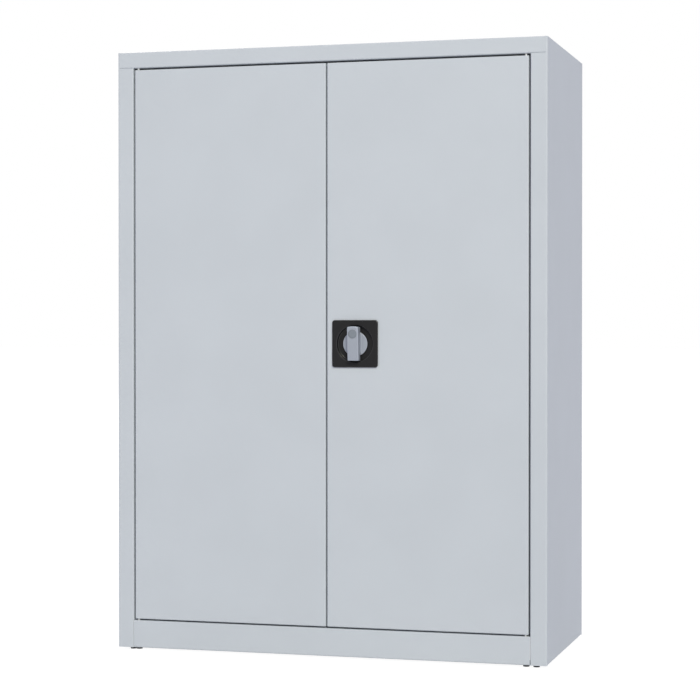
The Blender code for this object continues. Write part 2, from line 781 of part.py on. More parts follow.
def lock_plate():
    """A square plastic plate with a round dish that passes through the door."""
    half = PLATE_SIZE / 2
    bm = bmesh.new()
    middle = (LOCK_X, FRONT_Y - (PLATE_PROUD + SEAT) / 2, LOCK_Z)
    size = (PLATE_SIZE, PLATE_PROUD - SEAT, PLATE_SIZE, 1)
    bmesh.ops.create_cube(bm, size=1, matrix=Matrix.Translation(middle) @ Matrix.Diagonal(size))
    corners = [edge for edge in bm.edges if abs(edge.verts[0].co.y - edge.verts[1].co.y) > SEAT]
    bmesh.ops.bevel(
        bm, geom=corners, offset=PLATE_CORNER, segments=4, profile=0.5, affect="EDGES"
    )
    plate = add_object("lock_plate", bm, "black_plastic")
    round_edges(plate, SHEET / 2, 60)
    outer = DISH_RADIUS + DISH_WALL
    back = DISH_FLOOR + DISH_WALL
    dish = [(0, SEAT * 2), (outer, SEAT * 2), (outer, -back), (0, -back)]
    recess = [
        (0, PLATE_PROUD + OVERRUN),
        (DISH_RADIUS + SHEET, PLATE_PROUD + OVERRUN),
        (DISH_RADIUS + SHEET, PLATE_PROUD - SHEET / 2),
        (DISH_RADIUS, PLATE_PROUD - SHEET),
        (DISH_RADIUS - OVERRUN, -DISH_FLOOR),
        (0, -DISH_FLOOR),
    ]
    join(plate, turned("dish_body", dish, lock_place(), turn=facing_front()))
    cut(plate, turned("dish_recess", recess, lock_place(), turn=facing_front()))
    end = back + BOSS_LENGTH
    hole = (ear_back() - SCREW_LENGTH, end + OVERRUN)
    for label, side in SIDES.items():
        x = side * BOSS_OFFSET
        boss = lock_bar(f"boss_{label}", BOSS_RADIUS, x, 0, (back - SHEET, end))
        cut(boss, lock_bar(f"boss_hole_{label}", SCREW_RADIUS + SEAT, x, 0, hole))
        join(plate, boss)
    through = (DISH_FLOOR - OVERRUN, back + OVERRUN)
    cut(plate, lock_bar("shank_hole", SHANK_RADIUS + SEAT, 0, 0, through))
    return plate


def ear_front():
    """Depth at which the lock case's ears lie on the dish's bosses."""
    return DISH_FLOOR + DISH_WALL + BOSS_LENGTH + SEAT


def ear_back():
    return ear_front() + CASE_WALL


def lock_case():
    """The tray behind the dish that holds the cam and guides the two rods."""
    front = DISH_FLOOR + DISH_WALL + SEAT
    inner_back = ROD_DEPTH + ROD_RADIUS + ROD_CLEARANCE
    half_x, half_z = CASE_HALF_WIDTH, CASE_HALF_HEIGHT
    depths = (front, inner_back + CASE_WALL)
    case = lock_box("lock_case", (-half_x, half_x), depths, (-half_z, half_z), "zinc")
    ear = half_x + CASE_EAR
    ears = (ear_front(), ear_back())
    join(case, lock_box("case_ears", (-ear, ear), ears, (-CASE_EAR / 2, CASE_EAR / 2)))
    inner_x, inner_z = half_x - CASE_WALL, half_z - CASE_WALL
    hollow = (front - OVERRUN, inner_back)
    cut(case, lock_box("case_hollow", (-inner_x, inner_x), hollow, (-inner_z, inner_z)))
    levels = (LOCK_Z - half_z - OVERRUN, LOCK_Z + half_z + OVERRUN)
    round_holes(case, "rod_hole", [(LOCK_X, ROD_Y)], ROD_RADIUS + ROD_CLEARANCE, *levels)
    for label, side in SIDES.items():
        through = (ear_front() - OVERRUN, ear_back() + OVERRUN)
        hole = lock_bar(f"ear_hole_{label}", SCREW_RADIUS + SEAT, side * BOSS_OFFSET, 0, through)
        cut(case, hole)
    return case


def pan_head_screw(name, x, seat_depth, head_radius):
    """A screw put in from behind, its head against `seat_depth`."""
    head = seat_depth + SEAT
    profile = [
        (0, SCREW_LENGTH),
        (SCREW_RADIUS, SCREW_LENGTH),
        (SCREW_RADIUS, 0),
        (head_radius, 0),
        (head_radius, -SCREW_HEAD + SEAT),
        (head_radius - SEAT, -SCREW_HEAD),
        (0, -SCREW_HEAD),
    ]
    place = (LOCK_X + x, FRONT_Y + head, LOCK_Z)
    return turned(name, profile, place, "zinc", facing_front())


def bar_slope():
    """How much further the bar stands out for each metre up its length."""
    return (BAR_PROUD_TOP - BAR_PROUD_FOOT) / (2 * BAR_HALF_LENGTH)


def cylinder_axis():
    """The outward normal of the bar's sloping face."""
    return Vector((0, -1, -bar_slope())).normalized()


def cylinder_face():
    proud = BAR_PROUD_FOOT + bar_slope() * (CYLINDER_OFFSET + BAR_HALF_LENGTH)
    return Vector((LOCK_X, FRONT_Y - proud, LOCK_Z + CYLINDER_OFFSET))


def grip_bar():
    """The knob's wedge-shaped bar, its ends on the circle that they sweep."""
    half = BAR_WIDTH / 2
    under = FRONT_Y - DISC_PROUD + SEAT
    top, foot = LOCK_Z + BAR_HALF_LENGTH, LOCK_Z - BAR_HALF_LENGTH
    bar = box(
        "grip_bar",
        (LOCK_X - half, FRONT_Y - BAR_PROUD_TOP, foot + BAR_EDGE / 2),
        (LOCK_X + half, under, top + BAR_EDGE / 2),
    )
    for vert in bar.data.vertices:
        if vert.co.y < under - SEAT and vert.co.z < LOCK_Z:
            vert.co.y = FRONT_Y - BAR_PROUD_FOOT
    depths = (-BAR_PROUD_TOP - OVERRUN, OVERRUN)
    sweep = lock_bar("bar_sweep", BAR_HALF_LENGTH, 0, 0, depths, 4 * ROUND_SIDES)
    boolean(bar, sweep, "INTERSECT")
    round_edges(bar, BAR_EDGE, 40)
    return bar


def knob():
    """Disc, shank and square spindle in one casting with the grip bar."""
    floor = DISH_FLOOR - SEAT
    shank = CAM_Y - FRONT_Y - SEAT
    profile = [
        (0, DISC_PROUD),
        (DISC_RADIUS - BAR_EDGE, DISC_PROUD),
        (DISC_RADIUS, DISC_PROUD - BAR_EDGE),
        (DISC_RADIUS, -floor),
        (SHANK_RADIUS, -floor),
        (SHANK_RADIUS, -shank),
        (0, -shank),
    ]
    item = turned("knob", profile, lock_place(), "knob_grey", facing_front())
    half = SPINDLE_SIZE / 2
    end = shank + SEAT + CAM_THICKNESS
    spindle = lock_box("spindle", (-half, half), (shank - OVERRUN, end), (-half, half))
    join(item, grip_bar(), spindle)
    face, axis = cylinder_face(), cylinder_axis()
    start = face + axis * OVERRUN
    foot_point = face - axis * (CYLINDER_LENGTH + SEAT)
    cut(
        item,
        rod("cylinder_bore", CYLINDER_RADIUS + SEAT, start, foot_point),
        lock_bar("screw_bore", SCREW_RADIUS + SEAT, 0, 0, (end - SCREW_LENGTH, end + OVERRUN)),
    )
    return item


def key_cylinder():
    """The lock's plug, flush in the bar, with a shallow keyway."""
    profile = [
        (0, 0),
        (CYLINDER_RADIUS - SEAT, 0),
        (CYLINDER_RADIUS, -SEAT),
        (CYLINDER_RADIUS, -CYLINDER_LENGTH),
        (0, -CYLINDER_LENGTH),
    ]
    turn = cylinder_axis().to_track_quat("Z", "Y").to_euler()
    plug = turned("key_cylinder", profile, cylinder_face(), "cylinder_grey", turn)
    half_x, half_y = KEYWAY_WIDTH / 2, KEYWAY_LENGTH / 2
    keyway = box("keyway", (-half_x, -half_y, -KEYWAY_DEPTH), (half_x, half_y, OVERRUN))
    keyway.location = cylinder_face()
    keyway.rotation_euler = turn
    cut(plug, keyway)
    return plug


def yoke_back():
    """Depth of the rear face of the rods' flat yokes, which is flush with the rods."""
    return ROD_DEPTH + ROD_RADIUS - SEAT


def lock_cam():
    """A disc on the knob's spindle whose two pins lift one rod and lower the other."""
    front = CAM_Y - FRONT_Y
    profile = [
        (0, -front),
        (CAM_RADIUS, -front),
        (CAM_RADIUS, -front - CAM_THICKNESS),
        (0, -front - CAM_THICKNESS),
    ]
    cam = turned("lock_cam", profile, lock_place(), "zinc", facing_front())
    for label, side in SIDES.items():
        place = side * ROD_TRAVEL / 2
        depths = (front + CAM_THICKNESS / 2, yoke_back())
        join(cam, lock_bar(f"cam_pin_{label}", CAM_PIN_RADIUS, place, place, depths))
    half = SPINDLE_SIZE / 2 + SEAT
    through = (front - OVERRUN, front + CAM_THICKNESS + OVERRUN)
    cut(cam, lock_box("spindle_hole", (-half, half), through, (-half, half)))
    return cam


def locking_rod(name, way):
    """A round rod with a coned tip; its flat yoke holds one of the cam's pins in a slot."""
    shoulder = CAM_RADIUS + SHEET
    level = BAND_Z - ROD_TIP_GAP if way > 0 else LEDGE_Z + ROD_TIP_GAP
    length = abs(level - LOCK_Z) - shoulder
    profile = [
        (0, length),
        (ROD_TIP_RADIUS, length),
        (ROD_RADIUS, length - ROD_TIP),
        (ROD_RADIUS, 0),
        (0, 0),
    ]
    turn = None if way > 0 else (math.radians(180), 0, 0)
    place = (LOCK_X, ROD_Y, LOCK_Z + way * shoulder)
    item = turned(name, profile, place, "zinc", turn)
    loose = CAM_PIN_RADIUS + CAM_PIN_CLEARANCE
    pin = ROD_TRAVEL / 2
    slot_far, slot_near = -CAM_PIN_ORBIT - loose, loose - pin
    far, near = slot_far - YOKE_EDGE, slot_near + YOKE_EDGE
    depths = (yoke_back() - YOKE_THICKNESS, yoke_back())
    bridge = shoulder + 2 * YOKE_EDGE

    def flat(label, xs, zs, spread=0):
        xs = sorted(way * x for x in xs)
        zs = sorted(way * z for z in zs)
        thick = (depths[0] - spread, depths[1] + spread)
        return lock_box(f"{name}_{label}", xs, thick, zs)

    join(item, flat("bridge", (far, ROD_RADIUS), (shoulder, bridge)))
    join(item, flat("yoke", (far, near), (-pin - loose - YOKE_EDGE, bridge)))
    slot = flat("slot", (slot_far, slot_near), (-pin - loose, -pin + loose), OVERRUN)
    cut(item, slot)
    return item


def carry(name, place, *pieces):
    """Hangs pieces on an empty that stands on their joint's axis."""
    axis = bpy.data.objects.new(name, None)
    PARTS.objects.link(axis)
    axis.location = place
    axis.empty_display_size = DOOR_DEPTH
    for piece in pieces:
        piece.parent = axis
        piece.matrix_parent_inverse = Matrix.Translation(-Vector(place))
    return axis


def build_carcass():
    for label, side in SIDES.items():
        side_panel(f"side_panel_{label}", side)
    top_panel()
    bottom_panel()
    back_panel()
    for label, side in SIDES.items():
        for end, front in RAIL_PLACES.items():
            shelf_rail(f"shelf_rail_{label}_{end}", side, front)
            foot(f"foot_{label}_{end}", side, end == "back")
        for high in (False, True):
            height = "upper" if high else "lower"
            hinge_bush(f"hinge_bush_{label}_{height}", side, high)
            door_buffer(f"door_buffer_{label}_{height}", side, high)


def build_shelves():
    for level in range(SHELF_COUNT):
        name = SHELF_NAMES[level]
        shelf(f"shelf_{name}", level)
        for label, side in SIDES.items():
            for end, front in RAIL_PLACES.items():
                middle = front + RAIL_WIDTH / 2
                shelf_clip(f"shelf_clip_{name}_{label}_{end}", side, middle, level)


def build_doors():
    for label, side in SIDES.items():
        leaf = door(f"door_{label}", side)
        pieces = [leaf, stiffener(f"door_stiffener_{label}", side)]
        for high in (False, True):
            height = "upper" if high else "lower"
            pieces.append(hinge_pin(f"hinge_pin_{label}_{height}", side, high))
        if side < 0:
            pieces.append(meeting_strip())
        else:
            cut_for_lock(leaf)
        carry(f"door_{label}_axis", (side * PIVOT_X, PIVOT_Y, DOOR_LOW), *pieces)


def build_lock():
    lock_plate()
    lock_case()
    for label, side in SIDES.items():
        pan_head_screw(f"case_screw_{label}", side * BOSS_OFFSET, ear_back(), SCREW_HEAD_RADIUS)
    rod_guides()
    locking_rod("upper_rod", 1)
    locking_rod("lower_rod", -1)
    cam_back = CAM_Y - FRONT_Y + CAM_THICKNESS
    screw = pan_head_screw("spindle_screw", 0, cam_back, SPINDLE_SCREW_HEAD_RADIUS)
    turning = carry("knob_axis", lock_place(), knob(), lock_cam(), screw)
    plug = key_cylinder()
    plug.parent = turning
    plug.matrix_parent_inverse = Matrix.Translation(-Vector(lock_place()))


FINISHES = {
    "grey_paint": ((0.56, 0.59, 0.62), 0.45, 0.0),
    "zinc": ((0.62, 0.63, 0.64), 0.35, 0.9),
    "black_plastic": ((0.03, 0.03, 0.033), 0.5, 0.0),
    "white_plastic": ((0.75, 0.75, 0.73), 0.45, 0.0),
    "rubber": ((0.04, 0.04, 0.04), 0.8, 0.0),
    "knob_grey": ((0.34, 0.37, 0.43), 0.4, 0.3),
    "cylinder_grey": ((0.26, 0.29, 0.33), 0.4, 0.4),
}

clear_scene()
PARTS = new_collection("metal_storage_cabinet")
CUTTERS = new_collection("cutters")
build_carcass()
build_shelves()
build_doors()
build_lock()
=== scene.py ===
# %% [markdown]
# # A two-door sheet steel cabinet
#
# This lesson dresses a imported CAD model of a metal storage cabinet. The CAD model says where
# every piece is and how it moves. The cells below rebuild the pieces that show, with smooth
# bends and rounded edges, and give every piece a worked-out finish: powder coat, moulded
# plastic, zinc plate and lacquered casting.
#
# All lengths are in metres. +Z is up, the doors face -Y, and the lock is on the +X door.

# %% Load the fixed frame
import math

import bmesh
import bpy
import numpy as np
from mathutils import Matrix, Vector
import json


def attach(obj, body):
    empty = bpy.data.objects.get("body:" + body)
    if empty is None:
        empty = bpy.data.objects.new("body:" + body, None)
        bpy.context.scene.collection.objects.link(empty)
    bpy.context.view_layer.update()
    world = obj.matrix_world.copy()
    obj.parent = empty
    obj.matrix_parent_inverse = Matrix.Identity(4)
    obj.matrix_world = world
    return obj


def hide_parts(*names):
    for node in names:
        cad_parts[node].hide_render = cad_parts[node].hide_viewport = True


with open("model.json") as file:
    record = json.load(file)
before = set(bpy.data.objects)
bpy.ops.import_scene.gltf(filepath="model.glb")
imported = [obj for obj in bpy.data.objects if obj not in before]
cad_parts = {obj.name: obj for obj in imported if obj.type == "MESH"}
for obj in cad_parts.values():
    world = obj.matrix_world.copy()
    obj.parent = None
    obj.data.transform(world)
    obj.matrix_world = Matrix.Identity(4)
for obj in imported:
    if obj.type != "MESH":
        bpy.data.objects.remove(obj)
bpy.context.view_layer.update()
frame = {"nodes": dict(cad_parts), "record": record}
nodes = frame["nodes"]

# %% [markdown]
# ## Light and camera
#
# A product picture of a cabinet is taken in a bright room with pale walls. Hard lamps would
# draw sharp shadows that such a picture doesn't have, so most of the light here comes evenly
# from the world, at a level where a colour renders about as it is written. One far lamp at the
# front right gives the doors their slight lead over the side, and a weak one behind on the left
# keeps the back from going flat. The camera has a long lens and stands where the straight edges
# in the picture place it.

# %% The camera
PICTURE_SIZE = 700
SENSOR_WIDTH = 36.0
FOCAL_PIXELS = 1988.24
CAMERA_PLACE = (1.009, -3.5944, 0.5879)
CAMERA_YAW = 0.2754
CAMERA_PITCH = -0.0095


def add_camera():
    """Aims level along +Y, then turns by the yaw to the left and tips by the pitch."""
    lens = bpy.data.cameras.new("camera")
    lens.sensor_width = SENSOR_WIDTH
    lens.lens = FOCAL_PIXELS / PICTURE_SIZE * SENSOR_WIDTH
    camera = bpy.data.objects.new("camera", lens)
    camera.location = CAMERA_PLACE
    camera.rotation_euler = (math.pi / 2 + CAMERA_PITCH, 0, CAMERA_YAW)
    bpy.context.scene.collection.objects.link(camera)
    bpy.context.scene.camera = camera
    return lens.lens


print("lens in mm:", round(add_camera(), 2))

# %% [markdown]
# ## Shader maths as plain sums
#
# A finish is easier to read as a formula than as a list of links. `Flow` wraps the output of
# one shader node, and its operators add Math nodes, so `1 - mask` works as it looks. `Bench`
# holds one material, and its `node` method adds any node: settings first, then sockets.

# %% One wrapped socket and one way to add nodes
class Flow:
    """A number or colour on its way from one shader node to the next."""

    def __init__(self, bench, socket):
        self.bench = bench
        self.socket = socket

    def maths(self, operation, *values):
        """A Math node on plain numbers and flows, in the order of its sockets."""
        return self.bench.node("ShaderNodeMath", {"operation": operation}, dict(enumerate(values)))

    def __add__(self, other):
        return self.maths("ADD", self, other)

    def __radd__(self, other):
        return self.maths("ADD", other, self)

    def __sub__(self, other):
        return self.maths("SUBTRACT", self, other)

    def __rsub__(self, other):
        return self.maths("SUBTRACT", other, self)

    def __mul__(self, other):
        return self.maths("MULTIPLY", self, other)

    def __rmul__(self, other):
        return self.maths("MULTIPLY", other, self)

    def within(self, low, high):
        """0 below `low`, 1 above `high`, and a smooth step between them."""
        sockets = {"Value": self, "From Min": low, "From Max": high}
        settings = {"interpolation_type": "SMOOTHSTEP"}
        return self.bench.node("ShaderNodeMapRange", settings, sockets)


class Bench:
    """The node tree of one material or of the world."""

    def __init__(self, owner):
        self.owner = owner
        owner.use_nodes = True
        self.tree = owner.node_tree
        self.tree.nodes.clear()

    def node(self, kind, settings=None, sockets=None, output=0):
        """Adds a node, applies its settings, then sets or links its sockets.

        Gives back the wanted output, or nothing for a node that has none.
        """
        made = self.tree.nodes.new(kind)
        for name, value in (settings or {}).items():
            setattr(made, name, value)
        for key, value in (sockets or {}).items():
            if isinstance(value, Flow):
                self.tree.links.new(value.socket, made.inputs[key])
            else:
                made.inputs[key].default_value = value
        return None if output is None else Flow(self, made.outputs[output])

    def mix(self, share, first, second):
        """A colour that goes from `first` to `second` as the share goes from 0 to 1."""
        sockets = {0: share, 6: first, 7: second}
        return self.node("ShaderNodeMix", {"data_type": "RGBA"}, sockets, 2)


def new_bench(name):
    """A bench for a new material."""
    return Bench(bpy.data.materials.new(name))


print("shader helpers ready")

# %% [markdown]
# ## Stage
#
# The floor and the backdrop are white to the camera and to reflections. The floor still
# takes a faint shadow: its white is mostly its own glow, and the rest is lit by the room, so
# the cabinet darkens it a little where it stands.

# %% World, floor and lamps
WORLD_LIGHT = 0.482
WORLD_COLOUR = (0.77, 0.768, 1.0, 1.0)
BACKDROP = (1.0, 1.0, 1.0, 1.0)
FLOOR_SIZE = 60.0
FLOOR_GLOW = 1.13
FLOOR_LIT_SHARE = 0.15
FLOOR_COLOUR = (0.85, 0.85, 0.85, 1.0)
LAMP_AIM = (0, 0, 0.55)
LAMP_SIDE = 3.6
LAMPS = {
    "window": ((7.0, -14.5, 10.9), 2230, (1.0, 0.985, 0.82)),
    "far_window": ((-7.0, 12.0, 7.0), 665, (1.0, 1.0, 1.0)),
}


def seen_directly(bench):
    """1 for a ray from the camera, in a reflection or through glass; 0 for a ray of light."""
    path = "ShaderNodeLightPath"
    camera = bench.node(path, output="Is Camera Ray")
    glossy = bench.node(path, output="Is Glossy Ray")
    through = bench.node(path, output="Is Transmission Ray")
    return camera.maths("MINIMUM", camera + glossy + through, 1.0)


def light_world():
    """Even light from all sides; what is seen directly or in a reflection is the backdrop."""
    world = bpy.data.worlds.new("room")
    bpy.context.scene.world = world
    bench = Bench(world)
    light = {"Color": WORLD_COLOUR, "Strength": WORLD_LIGHT}
    lit = bench.node("ShaderNodeBackground", None, light)
    shown = bench.node("ShaderNodeBackground", None, {"Color": BACKDROP, "Strength": 1.0})
    both = bench.node("ShaderNodeMixShader", None, {0: seen_directly(bench), 1: lit, 2: shown})
    bench.node("ShaderNodeOutputWorld", None, {"Surface": both}, None)


def empty_mesh(name):
    """An object with an empty mesh, linked at the scene's origin."""
    made = bpy.data.objects.new(name, bpy.data.meshes.new(name))
    bpy.context.scene.collection.objects.link(made)
    return made


def flat_square(name, half):
    """Four corners at z = 0, half the side away from the middle along X and Y."""
    signs = np.array([(-1, -1), (1, -1), (1, 1), (-1, 1)], float)
    corners = np.column_stack([signs * half, np.zeros(4)])
    square = empty_mesh(name)
    square.data.from_pydata(corners, [], [(0, 1, 2, 3)])
    return square


def light_floor():
    """White glow plus a share of plain diffuse, which is the part that a shadow can darken."""
    bench = new_bench("pale_floor")
    glow = bench.node("ShaderNodeEmission", None, {"Color": BACKDROP, "Strength": FLOOR_GLOW})
    lit = bench.node("ShaderNodeBsdfDiffuse", None, {"Color": BACKDROP})
    shown = bench.node("ShaderNodeMixShader", None, {0: FLOOR_LIT_SHARE, 1: glow, 2: lit})
    plain = bench.node("ShaderNodeBsdfDiffuse", None, {"Color": FLOOR_COLOUR})
    both = bench.node("ShaderNodeMixShader", None, {0: seen_directly(bench), 1: plain, 2: shown})
    bench.node("ShaderNodeOutputMaterial", None, {"Surface": both}, None)
    return bench.owner


def hang_softbox(name, place, power, colour):
    """A square lamp at `place` that faces the middle of the cabinet."""
    lamp = bpy.data.lights.new(name, "AREA")
    lamp.shape = "SQUARE"
    lamp.size = LAMP_SIDE
    lamp.energy = power
    lamp.color = colour
    box = bpy.data.objects.new(name, lamp)
    box.location = place
    box.rotation_euler = (Vector(LAMP_AIM) - Vector(place)).to_track_quat("-Z", "Y").to_euler()
    bpy.context.scene.collection.objects.link(box)


light_world()
floor = flat_square("floor", FLOOR_SIZE)
floor.data.materials.append(light_floor())
for name, setting in LAMPS.items():
    hang_softbox(name, *setting)
bpy.context.scene.view_settings.view_transform = "Standard"
print("world light:", WORLD_LIGHT, "lamps:", len(LAMPS))

# %% [markdown]
# ## Finishes
#
# Every finish is worked out from Object coordinates, which here are the cabinet's own metres,
# so one grain runs at its true size over all the pieces. A photograph of each surface would be
# quicker, but it would bring its own light and its own scale.

# %% Grain, bends and one way to end a finish
def grain(bench, size, detail=2.0):
    """Noise from 0 to 1 whose blotches are about `size` metres wide."""
    place = bench.node("ShaderNodeTexCoord", output="Object")
    sockets = {"Vector": place, "Scale": 1 / size, "Detail": detail}
    return bench.node("ShaderNodeTexNoise", None, sockets)


def shade(colour, factor=1.0):
    """A colour times a factor, with its alpha of 1."""
    return (*(channel * factor for channel in colour), 1.0)


def bend_mask(bench):
    """1 in the middle of a fold or a rounded edge, 0 on the flats; the pieces carry it."""
    return bench.node("ShaderNodeAttribute", {"attribute_name": "bend"}, None, "Fac")


def finish(bench, colour, roughness, height, relief, **constants):
    """Ends a finish: `height` runs from 0 to 1 and stands `relief` metres high."""
    bumps = {"Height": height, "Distance": relief, "Strength": 1.0}
    normal = bench.node("ShaderNodeBump", None, bumps)
    sockets = {"Base Color": colour, "Roughness": roughness, "Normal": normal, **constants}
    shader = bench.node("ShaderNodeBsdfPrincipled", None, sockets)
    bench.node("ShaderNodeOutputMaterial", None, {"Surface": shader}, None)
    return bench.owner


print("finish helpers ready")

# %% [markdown]
# Powder coat is dust that was melted on. It flows into the soft ripples of orange peel, about
# two millimetres across, with a finer grit on top. At a bend the coat is pulled a little thinner
# and lies smoother, so bends are glossier than the flats. The bends are also painted a touch
# lighter, partly for the thinner coat and partly as a painted highlight.

# %% Powder coat
PAINT = (0.552, 0.592, 0.637)
# Colour of the bends: partly the thinner coat's own tone, partly a painted highlight.
THIN_COAT_AND_HIGHLIGHT = (0.63, 0.67, 0.705)
PEEL_SIZE, GRIT_SIZE, CLOUD_SIZE = 0.0021, 0.0005, 0.16
PEEL_RELIEF = 0.00006
PAINT_GLOSS = 0.25


def powder_coat():
    """Slow clouds and fine grit vary the paint, and peel and grit together make its relief."""
    bench = new_bench("grey_paint")
    cloud = grain(bench, CLOUD_SIZE)
    peel = grain(bench, PEEL_SIZE, 1.0)
    grit = grain(bench, GRIT_SIZE)
    bend = bend_mask(bench)
    colour = bench.mix(cloud.within(0.3, 0.7), shade(PAINT, 0.987), shade(PAINT, 1.013))
    colour = bench.mix(grit.within(0.55, 0.8) * 0.5, colour, shade(PAINT, 0.93))
    # Bends are painted lighter: partly the thinner coat, partly a painted highlight.
    colour = bench.mix(bend * 0.2, colour, shade(THIN_COAT_AND_HIGHLIGHT))
    roughness = 0.48 + cloud * 0.06 + grit * 0.08 - bend * 0.08
    height = peel * 0.7 + grit * 0.3
    gloss = {"Specular IOR Level": PAINT_GLOSS}
    return finish(bench, colour, roughness, height, PEEL_RELIEF, **gloss)


print("orange peel in mm:", PEEL_SIZE * 1000)

# %% [markdown]
# The lock plate and the feet are moulded in black plastic. Their mould was spark eroded, which
# leaves a fine leathery matt, but its bends were rubbed smooth, so the plate's bends have a thin
# shine, a coat that follows the bend marks. The bends of each moulding are also painted lighter,
# as a painted highlight. The knob is a zinc casting under grey lacquer with a little metal dust in
# it, its rounded edges painted lighter as a painted highlight, and the plug in its grip is plain
# dull nickel.

# %% Plastics, lacquer and nickel
BLACK = (0.0175, 0.0175, 0.019)
KNOB_GREY = (0.33, 0.36, 0.42)
CYLINDER_GREY = (0.215, 0.242, 0.278)
WHITE = (0.72, 0.72, 0.70)
RUBBER = (0.022, 0.022, 0.022)
SPARK_SIZE, COARSE_SPARK, FLOW_SIZE = 0.0006, 0.0009, 0.02
DUST_SIZE, RIPPLE_SIZE, NICKEL_SIZE = 0.0004, 0.004, 0.003
SPARK_RELIEF, LACQUER_RELIEF, NICKEL_RELIEF = 0.00004, 0.00004, 0.00003
SHINE_ROUGHNESS = 0.12


def moulded(name, colour, matt, spark_size=SPARK_SIZE, specular=0.5, polish=0.0):
    """`matt` is the roughness of the flats, and `polish` the weight of the coat on bends."""
    bench = new_bench(name)
    spark = grain(bench, spark_size)
    flow = grain(bench, FLOW_SIZE)
    tone = bench.mix(spark.within(0.35, 0.75), shade(colour, 0.9), shade(colour, 1.15))
    bend = bend_mask(bench)
    # Bends are painted lighter, a painted highlight; the coat and lower roughness there are the
    # real gloss.
    tone = bench.mix(bend, tone, shade(colour, 1.9))
    roughness = matt - 0.04 + flow * 0.08 + spark * 0.06 - bend * 0.2
    more = {"Specular IOR Level": specular}
    if polish:
        more.update({"Coat Weight": bend * polish, "Coat Roughness": SHINE_ROUGHNESS})
    return finish(bench, tone, roughness, spark, SPARK_RELIEF, **more)


def lacquered_casting():
    """Metal dust varies the lacquer's colour and gloss, and a slow ripple lies over it."""
    bench = new_bench("knob_grey")
    dust = grain(bench, DUST_SIZE)
    ripple = grain(bench, RIPPLE_SIZE)
    colour = bench.mix(dust.within(0.3, 0.7), shade(KNOB_GREY, 0.93), shade(KNOB_GREY, 1.07))
    bend = bend_mask(bench)
    # The rounded edges are painted lighter, a painted highlight; their lower roughness is real
    # gloss.
    colour = bench.mix(bend, colour, shade(KNOB_GREY, 1.25))
    roughness = 0.34 + dust * 0.1 + ripple * 0.06 - bend * 0.12
    metallic = 0.12 + dust * 0.1
    height = ripple * 0.7 + dust * 0.3
    return finish(bench, colour, roughness, height, LACQUER_RELIEF, Metallic=metallic)


def dull_nickel():
    """Slow clouds vary the metal's tone, and fine dust its gloss."""
    bench = new_bench("cylinder_grey")
    cloud = grain(bench, NICKEL_SIZE)
    dust = grain(bench, DUST_SIZE)
    colour = bench.mix(cloud, shade(CYLINDER_GREY, 0.94), shade(CYLINDER_GREY, 1.06))
    roughness = 0.4 + dust * 0.12
    metallic = 0.35 + cloud * 0.1
    return finish(bench, colour, roughness, dust, NICKEL_RELIEF, Metallic=metallic)


print("spark grain in mm:", SPARK_SIZE * 1000)

# %% [markdown]
# Rods, clips, pins and the lock case are zinc plated. Plating grows in flat crystals that each
# reflect a little differently, and handling adds fine streaks along the part. Voronoi cells
# give the crystals, and a noise that is stretched upwards gives the streaks.

# %% Zinc plate
ZINC = (0.62, 0.63, 0.64)
CRYSTALS_PER_METRE = 260.0
STREAKS_PER_METRE = (900, 900, 60)
ZINC_RELIEF = 0.000015


def zinc_plate():
    """Each crystal has one tone and one gloss, and the streaks are the relief."""
    bench = new_bench("zinc")
    place = bench.node("ShaderNodeTexCoord", output="Object")
    cells = {"Vector": place, "Scale": CRYSTALS_PER_METRE}
    crystal = bench.node("ShaderNodeTexVoronoi", None, cells, "Color")
    crystal = bench.node("ShaderNodeSeparateColor", None, {"Color": crystal})
    stretch = {"Vector": place, "Scale": STREAKS_PER_METRE}
    stretched = bench.node("ShaderNodeMapping", None, stretch)
    streak = bench.node("ShaderNodeTexNoise", None, {"Vector": stretched, "Scale": 1.0})
    colour = bench.mix(crystal, shade(ZINC, 0.86), shade(ZINC, 1.1))
    roughness = 0.27 + crystal * 0.1 + streak * 0.12
    metallic = 0.88 + crystal * 0.1
    return finish(bench, colour, roughness, streak, ZINC_RELIEF, Metallic=metallic)


finishes = {
    "grey_paint": powder_coat(),
    "zinc": zinc_plate(),
    "black_plastic": moulded("black_plastic", BLACK, matt=0.44, specular=0.13, polish=1.0),
    "white_plastic": moulded("white_plastic", WHITE, matt=0.40),
    "rubber": moulded("rubber", RUBBER, 0.80, COARSE_SPARK, specular=0.3),
    "knob_grey": lacquered_casting(),
    "cylinder_grey": dull_nickel(),
}
slots = {row["node"]: row["material_slot"] for row in frame["record"]["subparts"]}
for name, item in nodes.items():
    item.data.materials.clear()
    item.data.materials.append(finishes[slots[name]])
print("finishes:", len(finishes))

# %% [markdown]
# ## Sheet metal as a path and its stations
#
# The carcass and the doors are thin steel, folded on a press brake. Each fold leaves a round
# bend, and it is the bend that catches the light along every edge of such a cabinet. So a
# panel starts here as a path across its folds. `rounded` puts an arc on each corner, a second
# direction carries the path along, and a Solidify modifier gives the sheet its thickness. A
# box with beveled edges would look alike from the front, but it would be solid behind.

# %% Sizes that the panels share
SHEET = 0.0010
SEAT = 0.0003
BEND = 0.0025
RELIEF = 0.0040
FOLD = 0.0150
BEND_STEPS = 8
MERGE = 1e-6
FRONT_Y, BACK_Y = -0.180, 0.200
BASE_Z, TOP_Z = 0.0050, 1.100
HALF_WIDTH = 0.400
OPENING_X = 0.370
CORNER_X = HALF_WIDTH - BEND - SHEET
TUCKED_X = HALF_WIDTH - SHEET - SEAT
print("bend radius in mm:", BEND * 1000)

# %% A path with rounded corners
def unit(vectors):
    """Each vector divided by its own length."""
    return vectors / np.linalg.norm(vectors, axis=-1, keepdims=True)


